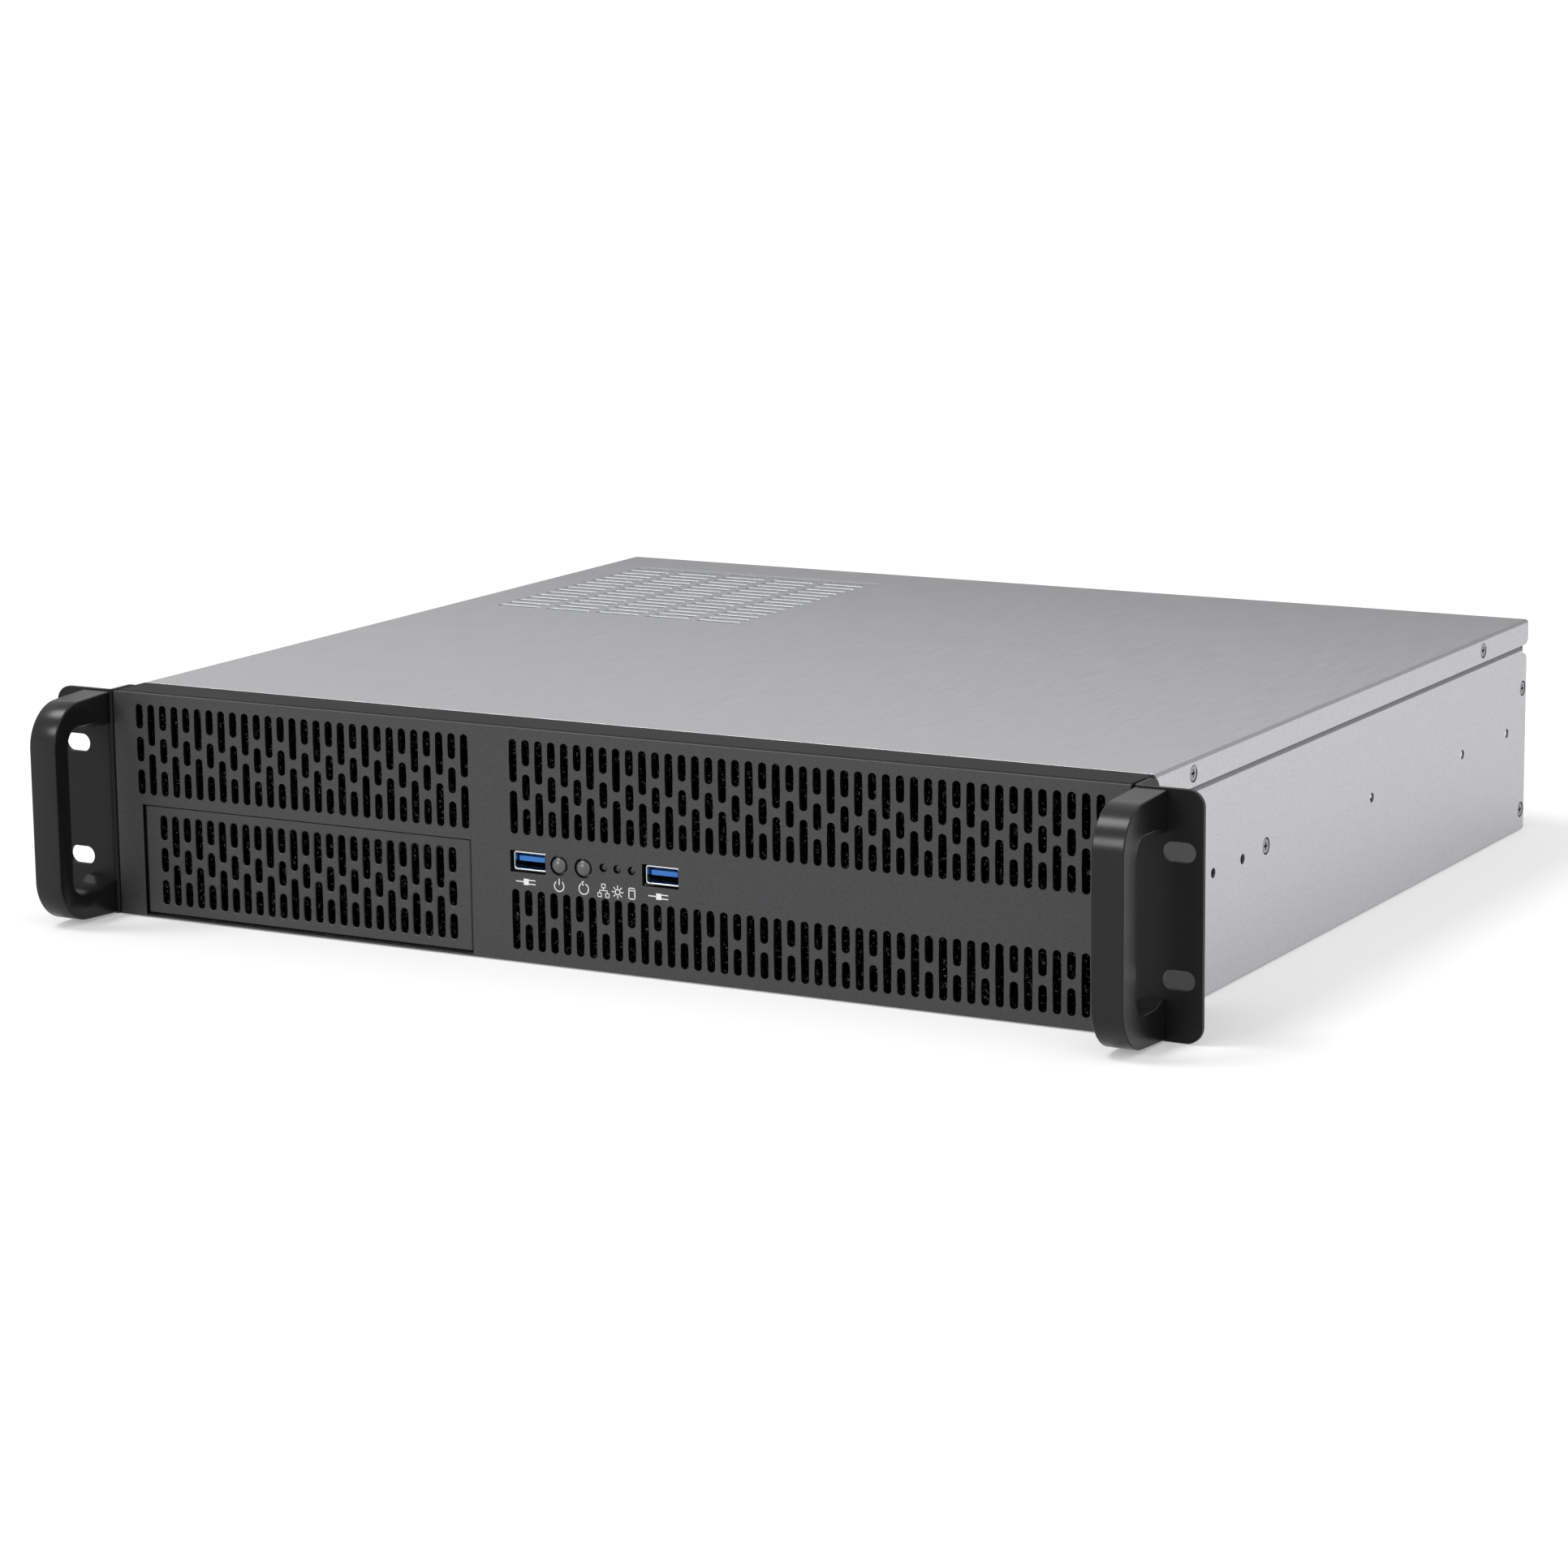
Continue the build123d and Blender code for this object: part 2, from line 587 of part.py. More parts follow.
def bay_cover():
    """Cover of the drive bay, with two tabs that clip inside the cage."""
    plate = Pos(BAY_LEFT + BAY_WIDTH / 2, BAY_LOW + BAY_HEIGHT / 2) * Rectangle(BAY_WIDTH, BAY_HEIGHT)
    cover = backwards(plate, 0, PANEL_SHEET)
    middle = BAY_LOW + BAY_HEIGHT / 2
    z = (middle - BAY_TAB_HEIGHT / 2, middle + BAY_TAB_HEIGHT / 2)
    for x in (BAY_LEFT, BAY_RIGHT - SHEET):
        cover += block((x, x + SHEET), (0, PANEL_SHEET + BAY_TAB_DEPTH), z)
    slots = grille(widened((BAY_LEFT, BAY_RIGHT), -BAY_SLOT_MARGIN), BAY_BAND, (3, 2))
    return cover - backwards(slots, -CUT, PANEL_SHEET + 2 * CUT)


def bay_filter():
    """Foam pad between the tabs of the bay cover."""
    x = widened((BAY_LEFT + SHEET, BAY_RIGHT - SHEET), -SLIP_GAP)
    z = widened(BAY_BAND, CUT)
    return block(x, (PANEL_BACK + SLIP_GAP, PANEL_BACK + FOAM_DEPTH), z)


# Front keys, lamps and sockets

def key_cap(x):
    """Key with a sloped crown, a rim bar behind the panel and a stem down to the switch."""
    rim_front = PANEL_BACK + SLIP_GAP
    rim_back = rim_front + KEY_RIM_SHEET
    cap = backwards(small_round(KEY_CAP), -KEY_PROUD, rim_back + KEY_PROUD)
    face = cap.faces().sort_by(Axis.Y)[0]
    cap = chamfer(face.edges(), KEY_DOME, KEY_DOME_EDGE)
    cap += block(centred(KEY_RIM_WIDTH), (rim_front, rim_back), centred(KEY_RIM))
    cap += block(centred(KEY_STEM), (rim_back, plunger_front() - SEAT_GAP), centred(KEY_STEM))
    return Pos(x, 0, CONTROL_Z) * cap


def plunger_front():
    """Depth of the front end of a switch plunger."""
    return BOARD_Y - SWITCH_DEPTH - KEY_TRAVEL - SLIP_GAP


def switch_plunger(x):
    """Plunger of a switch, which the key's stem presses into its body."""
    y = (plunger_front(), BOARD_Y - SWITCH_DEPTH + PLUNGER_HOLD)
    return Pos(x, 0, CONTROL_Z) * block(centred(PLUNGER), y, centred(PLUNGER))


def switch_body(x):
    """Body of a switch on the board, with a well for the plunger's travel."""
    front = BOARD_Y - SWITCH_DEPTH
    body = block(centred(SWITCH_SIDE), (front, BOARD_Y), centred(SWITCH_SIDE))
    well = centred(PLUNGER + 2 * PLUNGER_GAP)
    body -= block(well, (front - CUT, front + PLUNGER_HOLD + KEY_TRAVEL + SLIP_GAP), well)
    return Pos(x, 0, CONTROL_Z) * body


def socket_shell(x):
    """Steel shell of a socket on the board, open to the front, with a lip round its mouth."""
    width, height = SOCKET_SHELL
    tube = Pos(x, CONTROL_Z) * Rectangle(width, height)
    hollow = Pos(x, CONTROL_Z) * Rectangle(width - 2 * SOCKET_WALL, height - 2 * SOCKET_WALL)
    shell = backwards(tube, SOCKET_INSET, BOARD_Y - SOCKET_INSET)
    shell += backwards(Pos(x, CONTROL_Z) * Rectangle(*SOCKET_LIP), SOCKET_INSET, SOCKET_WALL)
    return shell - backwards(hollow, SOCKET_INSET - CUT, BOARD_Y - SOCKET_INSET)


def socket_tongue(x):
    """Contact tongue of a socket, with the block that holds it at the back of the shell."""
    width, height = SOCKET_SHELL
    half, tall = width / 2 - SOCKET_WALL - SEAT_GAP, height / 2 - SOCKET_WALL - SEAT_GAP
    back = BOARD_Y - CUT - SEAT_GAP
    root = block((x - half, x + half), (back - 2, back), (CONTROL_Z - tall, CONTROL_Z + tall))
    low = CONTROL_Z + TONGUE_LIFT - TONGUE_SIZE[1] / 2
    blade = block(
        (x - TONGUE_SIZE[0] / 2, x + TONGUE_SIZE[0] / 2), (TONGUE_INSET, back - 1), (low, low + TONGUE_SIZE[1])
    )
    return root + blade


def lamp(x):
    """Clear light guide from the board to the panel."""
    guide = Pos(x, LAMP_Z) * small_round(LAMP_HOLE - 2 * LAMP_GAP)
    return backwards(guide, LAMP_INSET, BOARD_Y - LAMP_INSET)


def front_io_board():
    """Small board that carries the sockets, switches and light guides."""
    y = (BOARD_Y, BOARD_Y + BOARD_SHEET)
    return block(centred(BOARD_WIDTH, BOARD_X), y, (BOARD_LOW, BOARD_HIGH))


def io_board_posts():
    """Two hexagonal posts between the front frame and the board."""
    hexagon = RegularPolygon(POST_HEX / 2, 6, major_radius=False)
    spread = BOARD_WIDTH / 2 - POST_HEX / 2 - POST_INSET
    z = (BOARD_LOW + BOARD_HIGH) / 2
    posts = Sketch() + [Pos(BOARD_X + side * spread, z) * hexagon for side in (-1, 1)]
    return backwards(posts, FRAME_BACK, BOARD_Y - FRAME_BACK)


# Ears and handles

def rack_ear():
    """Right ear: a slotted plate and a leg along the side of the tub."""
    inner = HALF_WIDTH + SEAT_GAP
    plan = [(inner, EAR_LEG_DEPTH), (inner, 0), (EAR_X, 0)]
    ear = upwards(folded(plan, Side.LEFT, EAR_BEND, EAR_SHEET), 0, BODY_HEIGHT)
    leg = (inner - CUT, inner + EAR_SHEET + CUT)
    ear -= block(leg, (EAR_HORN_DEPTH, EAR_LEG_DEPTH + CUT), (EAR_LEG_TOP, BODY_HEIGHT + CUT))
    horn = ear.edges().filter_by(Axis.X).filter_by_position(Axis.Z, BODY_HEIGHT - 0.1, BODY_HEIGHT + 0.1)
    ear = fillet(horn.filter_by_position(Axis.Y, EAR_HORN_DEPTH - 0.1, EAR_HORN_DEPTH + 0.1), EAR_HORN_ROUND)
    corners = ear.edges().filter_by(Axis.Y).filter_by_position(Axis.X, EAR_X - 0.1, EAR_X + 0.1)
    ear = fillet(corners, EAR_ROUND)
    slots = Sketch() + [
        Pos(EAR_X - RACK_SLOT_INSET, BODY_HEIGHT / 2 + sign * RACK_SLOT_Z / 2)
        * SlotOverall(RACK_SLOT_LENGTH, RACK_SLOT_WIDTH)
        for sign in (-1, 1)
    ]
    return ear - backwards(slots, -CUT, EAR_SHEET + 2 * CUT)


def handle():
    """Right handle: a moulded arch whose legs narrow from their roots to the grip."""
    low, high = HANDLE_INSET_Z, BODY_HEIGHT - HANDLE_INSET_Z
    outline = [
        (0, low),
        (-HANDLE_REACH, low + HANDLE_SLOPE),
        (-HANDLE_REACH, high - HANDLE_SLOPE),
        (0, high),
    ]
    arch = make_face(Polyline(*outline, close=True))
    front = arch.vertices().group_by(Axis.X)[0]
    arch = fillet(front, HANDLE_ROUND)
    solid = rightwards(arch, HANDLE_X, HANDLE_WIDTH)
    rim = solid.edges().filter_by(GeomType.CIRCLE) + solid.edges().filter_by(Axis.Z)
    rim = rim.filter_by_position(Axis.Y, -HANDLE_REACH - 1, -1)
    solid = chamfer(rim, HANDLE_EDGE)
    return solid - finger_opening(low, high)


def finger_opening(low, high):
    """Cutter of the opening inside a handle, which draws in towards the outer side."""
    grip = -HANDLE_REACH + GRIP_DEPTH
    ramp = ROOT_DEPTH + ROOT_RAMP
    lower = [
        (GRIP_DEPTH, low + ROOT_HEIGHT),
        (-ROOT_DEPTH, low + ROOT_HEIGHT),
        (-ramp, low + LEG_HEIGHT),
        (grip, low + LEG_HEIGHT),
    ]
    upper = [(y, low + high - z) for y, z in reversed(lower)]
    outline = make_face(Polyline(*(lower + upper), close=True))
    cutter = rightwards(outline, HANDLE_X, HANDLE_WIDTH)
    ends = cutter.faces().filter_by(Axis.X)
    cutter = draft(cutter.faces() - ends, along(HANDLE_X), FINGER_DRAFT)
    front = cutter.faces().sort_by(Axis.Y)[0]
    corners = [edge for edge in front.edges() if abs((edge @ 1 - edge @ 0).X) > HANDLE_WIDTH / 2]
    return fillet(corners, FINGER_ROUND)


# Inside

def drive_cage():
    """Cage of the 5.25 inch bay: a folded arch with feet on the floor."""
    left, right = BAY_LEFT - CAGE_GAP, BAY_RIGHT + CAGE_GAP
    floor = SHEET
    outline = [
        (left - SHEET - CAGE_FOOT, floor + SHEET),
        (left - SHEET, floor + SHEET),
        (left - SHEET, CAGE_TOP + SHEET),
        (right + SHEET, CAGE_TOP + SHEET),
        (right + SHEET, floor + SHEET),
        (right + SHEET + CAGE_FOOT, floor + SHEET),
    ]
    cage = backwards(folded(outline, Side.RIGHT, bend=0), CAGE_START, CAGE_DEPTH)
    over_frame = floor + FRAME_FOOT + SHEET + SLIP_GAP
    under = (left - 2 * CAGE_FOOT, right + 2 * CAGE_FOOT)
    cage -= block(under, (CAGE_START - CUT, FRAME_LOW_DEPTH + SLIP_GAP), (floor - CUT, over_frame))
    holes = Sketch() + [
        Pos(CAGE_START + y, floor + CAGE_HOLE_HEIGHT) * Rectangle(CAGE_HOLE_LENGTH, CAGE_HOLE_WIDTH)
        for y in CAGE_HOLE_DEPTHS
    ]
    return cage - rightwards(holes, left - 2 * SHEET, right - left + 4 * SHEET)


def fan_bracket():
    """Wall across the case that carries the fans, with a floor and a side flange."""
    right = INNER_X - SEAT_GAP
    floor = SHEET + SEAT_GAP
    back = FAN_WALL_Y + FAN_FLANGE
    wall = block((FAN_WALL_LEFT, right), (FAN_WALL_Y, FAN_WALL_Y + SHEET), (floor, SHOULDER_Z - BEND))
    top_right = NECK_X - TUB_LIP - SLIP_GAP
    wall += block((FAN_WALL_LEFT, top_right), (FAN_WALL_Y, FAN_WALL_Y + SHEET), (floor, FAN_WALL_TOP))
    wall += block((FAN_WALL_LEFT, right), (FAN_WALL_Y, back), (floor, floor + SHEET))
    wall += block((right - SHEET, right), (FAN_WALL_Y, back), (floor, SHOULDER_Z - BEND))
    bore = RegularPolygon(FAN_BORE / 2, FAN_BORE_SIDES)
    fans = places(FAN_WALL_LEFT + FAN_FIRST, INNER_X - FAN_LAST_ROOM, FAN_PITCH)
    bores = Sketch() + [Pos(x, FAN_CENTRE_Z) * bore for x in fans]
    return wall - backwards(bores, FAN_WALL_Y - CUT, SHEET + 2 * CUT)


def board_standoffs():
    """Nine hexagonal stand-offs for a square board 244 mm wide."""
    edge, rear = IO_RIGHT - BOARD_EDGE, POCKET_Y - BLANK_SHEET - BOARD_REAR_GAP
    hexagon = RegularPolygon(STANDOFF_HEX / 2, 6, major_radius=False)
    posts = [
        upwards(Pos(edge - x, rear - y) * hexagon, SHEET, STANDOFF_HEIGHT)
        for x in STANDOFF_FROM_EDGE
        for y in STANDOFF_FROM_REAR
    ]
    return Part() + posts


def supply_rest():
    """Folded rest on the floor, beside the power supply."""
    x = SUPPLY_RIGHT + REST_GAP
    outline = [(x + REST_FOOT, SHEET), (x, SHEET), (x, REST_HEIGHT)]
    rear = BODY_DEPTH - REAR_FLANGE - REST_GAP
    return backwards(folded(outline, Side.RIGHT, bend=0), rear - REST_DEPTH, REST_DEPTH)


# Screws

def cover_screws():
    """Four countersunk screws, two on each side of the cover."""
    right = [side_screw(y, COVER_SCREW_Z) for y in COVER_SCREW_DEPTHS]
    return Part() + right + [mirrored(screw) for screw in right]


def build_pieces():
    """All pieces of the case by name."""
    ear, grip = rack_ear(), handle()
    pieces = {
        "chassis_base": chassis_base(),
        "top_cover": top_cover(),
        "rear_panel": rear_panel(),
        "front_frame": front_frame(),
        "front_panel": front_panel(),
        "bay_cover": bay_cover(),
        "foam_filter_bay": bay_filter(),
        "rack_ear_right": ear,
        "rack_ear_left": mirrored(ear),
        "handle_right": grip,
        "handle_left": mirrored(grip),
        "front_io_board": front_io_board(),
        "io_board_posts": io_board_posts(),
        "drive_cage": drive_cage(),
        "fan_bracket": fan_bracket(),
        "board_standoffs": board_standoffs(),
        "supply_rest": supply_rest(),
        "cover_screws": cover_screws(),
    }
    left, _, upper, lower, _ = windows()
    pieces["foam_filter_left"] = foam_filter(left)
    pieces["foam_filter_right_upper"] = foam_filter(upper)
    pieces["foam_filter_right_lower"] = foam_filter(lower)
    for side, x in zip(("left", "right"), SOCKET_X):
        pieces[f"usb_shell_{side}"] = socket_shell(x)
        pieces[f"usb_tongue_{side}"] = socket_tongue(x)
    for name, x in zip(("power", "reset"), KEY_X):
        pieces[f"{name}_button"] = key_cap(x)
        pieces[f"{name}_plunger"] = switch_plunger(x)
        pieces[f"{name}_switch"] = switch_body(x)
    for name, x in zip(("network", "power", "disk"), LAMP_X):
        pieces[f"{name}_lamp"] = lamp(x)
    for number, x in enumerate(card_places(), start=1):
        pieces[f"slot_blank_{number}"] = slot_blank(x)
    return pieces


def main():
    """Builds every piece, moves it to the case's own origin and writes it."""
    os.makedirs("parts", exist_ok=True)
    for name, piece in build_pieces().items():
        placed = Pos(0, -ORIGIN_Y, 0) * piece
        placed.label = name
        export_step(placed, f"parts/{name}.step")


if __name__ == "__main__":
    main()
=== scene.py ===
"""Looks of an empty two-unit rackmount server case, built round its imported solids.

Each class below is one sub-assembly of the case. Its fields are sizes in millimetres, and its
methods model the pieces, dress them in a finish and put them in place of the plain solids.
X runs to the right seen from the front, depth runs back from the front panel's face and Z runs
up from the floor. Finished pieces lie in the frame of the solids, in metres.
"""
from __future__ import annotations

import logging
import math
from collections.abc import Callable, Iterator
from contextlib import contextmanager
from dataclasses import dataclass
from enum import Enum

import bmesh
import bpy
from bpy.types import Material, Node, NodeSocket, NodeTree, Object
from mathutils import Euler, Matrix, Vector


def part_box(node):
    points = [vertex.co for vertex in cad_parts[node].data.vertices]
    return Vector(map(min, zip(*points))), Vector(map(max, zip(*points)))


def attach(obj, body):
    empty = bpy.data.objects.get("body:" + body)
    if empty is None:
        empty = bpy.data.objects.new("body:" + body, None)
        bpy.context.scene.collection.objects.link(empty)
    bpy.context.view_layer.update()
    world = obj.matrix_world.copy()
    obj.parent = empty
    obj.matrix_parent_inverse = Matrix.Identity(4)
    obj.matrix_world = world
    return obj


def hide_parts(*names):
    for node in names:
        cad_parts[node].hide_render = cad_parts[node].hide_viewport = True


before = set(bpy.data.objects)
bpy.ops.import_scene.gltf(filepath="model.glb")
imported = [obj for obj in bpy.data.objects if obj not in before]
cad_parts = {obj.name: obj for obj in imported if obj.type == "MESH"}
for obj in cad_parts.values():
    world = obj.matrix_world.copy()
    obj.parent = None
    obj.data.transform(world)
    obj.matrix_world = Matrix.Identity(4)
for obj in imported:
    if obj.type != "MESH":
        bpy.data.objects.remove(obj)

log = logging.getLogger("case")

Test = Callable[[Vector, Vector], bool]
Span = tuple[float, float]
Slot = tuple[float, float, float]

MM = 0.001
FRONT_Y = -177.5  # where the front panel's face lies in the frame of the solids


# Working helpers


def linear(colour: str) -> tuple[float, float, float, float]:
    """Turns an sRGB hex colour into the linear colour that a shader takes.

    Args:
        colour: Six hex digits with a leading hash.

    Returns:
        Red, green, blue and an alpha of one.
    """
    channels = [int(colour[k : k + 2], 16) / 255 for k in (1, 3, 5)]
    red, green, blue = (c / 12.92 if c <= 0.04045 else ((c + 0.055) / 1.055) ** 2.4 for c in channels)
    return (red, green, blue, 1.0)


def per_mm(size: float) -> float:
    """Texture scale at which a pattern's features are this many millimetres wide."""
    return 1 / (size * MM)


def add_node(tree: NodeTree, kind: str, inputs: dict | None = None, **settings) -> Node:
    """Adds a shader node, with its settings and its inputs.

    Args:
        tree: Node tree that takes the node.
        kind: Type of the node.
        inputs: Values or sockets by input name or number.
        settings: The node's own properties.

    Returns:
        The new node.
    """
    node = tree.nodes.new(kind)
    for name, value in settings.items():
        setattr(node, name, value)
    for key, value in (inputs or {}).items():
        if isinstance(value, NodeSocket):
            tree.links.new(value, node.inputs[key])
        else:
            node.inputs[key].default_value = value
    return node


def point(x: float, depth: float, z: float) -> Vector:
    """Place in the frame of the solids of a point given by X, depth and Z in millimetres."""
    return Vector((x, depth + FRONT_Y, z)) * MM


def from_front(place: Vector) -> Vector:
    """X, depth and Z in millimetres of a place in the frame of the solids."""
    return place / MM - Vector((0, FRONT_Y, 0))


def select_only(*objects: Object) -> None:
    """Selects these objects alone, the first one active."""
    bpy.ops.object.select_all(action="DESELECT")
    for obj in objects:
        obj.select_set(True)
    bpy.context.view_layer.objects.active = objects[0]


@contextmanager
def picked(obj: Object, kind: str, test: Test | None = None) -> Iterator[None]:
    """Opens an object in edit mode with the parts selected that pass a test, and closes it again.

    Args:
        obj: Mesh object to edit.
        kind: verts, edges or faces.
        test: Takes a part's middle, as X, depth and Z in millimetres, and its normal or direction.
            Without a test every part is selected.
    """
    select_only(obj)
    bpy.ops.object.mode_set(mode="EDIT")
    bpy.ops.mesh.select_mode(type=kind[:-1].upper())
    bpy.ops.mesh.select_all(action="DESELECT" if test else "SELECT")
    if test:
        mesh = bmesh.from_edit_mesh(obj.data)
        for part in getattr(mesh, kind):
            if kind == "verts":
                middle, way = part.co, part.normal
            elif kind == "edges":
                start, end = (vert.co for vert in part.verts)
                middle, way = (start + end) / 2, (end - start).normalized()
            else:
                middle, way = part.calc_center_median(), part.normal
            if test(from_front(middle), way):
                part.select_set(True)
        bmesh.update_edit_mesh(obj.data)
    yield
    bpy.ops.object.mode_set(mode="OBJECT")


def settle(obj: Object) -> Object:
    """Moves an object's place, turn and size into its mesh."""
    select_only(obj)
    bpy.ops.object.transform_apply(location=True, rotation=True, scale=True)
    return obj


def made(operator: Callable, name: str, **settings) -> Object:
    """Adds a primitive with nothing else selected.

    Args:
        operator: The operator that adds it.
        name: Name of the object.
        settings: The operator's settings.

    Returns:
        The primitive, with its place, turn and size in its mesh.
    """
    bpy.ops.object.select_all(action="DESELECT")
    operator(**settings)
    obj = bpy.context.object
    obj.name = name
    return settle(obj)


def looks_ahead(place: Vector, normal: Vector) -> bool:
    """Whether a face looks to the front."""
    return normal.y < -0.9


def resize(middle: Vector, x: float = 1.0, depth: float = 1.0, z: float = 1.0) -> None:
    """Stretches the picked parts about a middle, by a factor for each axis."""
    bpy.ops.transform.resize(value=(x, depth, z), center_override=middle)


def bevel(width: float, steps: int) -> None:
    """Rounds the picked edges, by millimetres and faces across."""
    bpy.ops.mesh.bevel(offset=width * MM, segments=steps, affect="EDGES")


def extrude(way: float, axis: int = 1) -> None:
    """Extrudes the picked faces along an axis, by millimetres."""
    shift = [0.0, 0.0, 0.0]
    shift[axis] = way * MM
    bpy.ops.mesh.extrude_region_move(TRANSFORM_OT_translate={"value": shift})


def block(name: str, x: Span, depth: Span, z: Span) -> Object:
    """Models a box between the low and high value of each axis.

    Args:
        name: Name of the object.
        x: Low and high X.
        depth: Low and high depth.
        z: Low and high Z.

    Returns:
        The box.
    """
    spans = (x, depth, z)
    return made(
        bpy.ops.mesh.primitive_cube_add,
        name,
        size=1,
        location=point(*(sum(span) / 2 for span in spans)),
        scale=[(high - low) * MM for low, high in spans],
    )


def about(name: str, middle: Span, size: Span, depth: Span) -> Object:
    """Models a box about an X and a Z.

    Args:
        name: Name of the object.
        middle: X and Z of its middle.
        size: Its width and height.
        depth: Low and high depth.

    Returns:
        The box.
    """
    (x, z), (wide, tall) = middle, (value / 2 for value in size)
    return block(name, (x - wide, x + wide), depth, (z - tall, z + tall))


def rod(name: str, x: float, z: float, depth: Span, radius: float, sides: int = 32) -> Object:
    """Models a round bar that runs front to back.

    Args:
        name: Name of the object.
        x: X of its axis.
        z: Z of its axis.
        depth: Depth of its front and rear end.
        radius: Its radius.
        sides: Faces round it.

    Returns:
        The bar.
    """
    return made(
        bpy.ops.mesh.primitive_cylinder_add,
        name,
        vertices=sides,
        radius=radius * MM,
        depth=(depth[1] - depth[0]) * MM,
        location=point(x, sum(depth) / 2, z),
        rotation=(math.pi / 2, 0, 0),
    )


def copied(obj: Object, name: str, shift: tuple = (0, 0, 0)) -> Object:
    """Copies an object with its own mesh, moved by a shift in millimetres."""
    twin = obj.copy()
    twin.data = obj.data.copy()
    twin.name = name
    bpy.context.scene.collection.objects.link(twin)
    twin.data.transform(Matrix.Translation(Vector(shift) * MM))
    return twin


def mirrored(obj: Object, name: str) -> Object:
    """Copies an object to the other side of the case, with its faces still pointing outwards."""
    twin = copied(obj, name)
    twin.data.transform(Matrix.Scale(-1, 4, (1, 0, 0)))
    with picked(twin, "faces"):
        bpy.ops.mesh.normals_make_consistent(inside=False)
    return twin


def joined(name: str, pieces: list[Object]) -> Object:
    """Joins pieces into one object."""
    select_only(*pieces)
    bpy.ops.object.join()
    pieces[0].name = name
    return pieces[0]


def modified(obj: Object, kind: str, **settings) -> Object:
    """Adds a modifier with its settings and applies it.

    Args:
        obj: Mesh object.
        kind: Type of the modifier.
        settings: The modifier's own properties.

    Returns:
        The same object.
    """
    select_only(obj)
    modifier = obj.modifiers.new(kind.title(), kind)
    for name, value in settings.items():
        setattr(modifier, name, value)
    bpy.ops.object.modifier_apply(modifier=modifier.name)
    return obj


def cut(obj: Object, *cutters: Object) -> Object:
    """Takes cutters out of an object and deletes them."""
    for cutter in cutters:
        modified(obj, "BOOLEAN", operation="DIFFERENCE", solver="EXACT", object=cutter)
        bpy.data.objects.remove(cutter)
    return obj


def edged(obj: Object, width: float, steps: int = 2, angle: float = 30.0) -> Object:
    """Rounds an object's sharp edges a little and shades it smooth.

    Args:
        obj: Mesh object.
        width: Width of the rounding in millimetres.
        steps: Faces across the rounding.
        angle: Edges sharper than this many degrees are rounded.

    Returns:
        The same object.
    """
    if width:
        modified(
            obj, "BEVEL", width=width * MM, segments=steps, limit_method="ANGLE",
            angle_limit=math.radians(angle), miter_outer="MITER_ARC" if steps > 1 else "MITER_SHARP",
        )
    select_only(obj)
    bpy.ops.object.shade_smooth_by_angle(angle=math.radians(35))
    return modified(obj, "WEIGHTED_NORMAL", keep_sharp=True)


def domed(obj: Object, rings: list[Span] | tuple[Span, ...]) -> Object:
    """Draws an object's front face in, ring by ring, and shades the object smooth.

    Args:
        obj: Mesh object.
        rings: Width and height of each ring.

    Returns:
        The same object.
    """
    with picked(obj, "faces", looks_ahead):
        for width, rise in rings:
            bpy.ops.mesh.inset(thickness=width * MM, depth=rise * MM)
    select_only(obj)
    bpy.ops.object.shade_smooth_by_angle(angle=math.radians(60))
    return obj


def merged_copy(node: str, name: str) -> Object:
    """Copies a solid's mesh as one closed skin with flat faces in one piece each."""
    copy = copied(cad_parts[node], name)
    copy.parent = None
    for key in list(copy.keys()):
        del copy[key]
    with picked(copy, "verts"):
        bpy.ops.mesh.remove_doubles(threshold=0.002 * MM)
        bpy.ops.mesh.dissolve_limited(angle_limit=math.radians(0.5))
    return copy


# Finishes


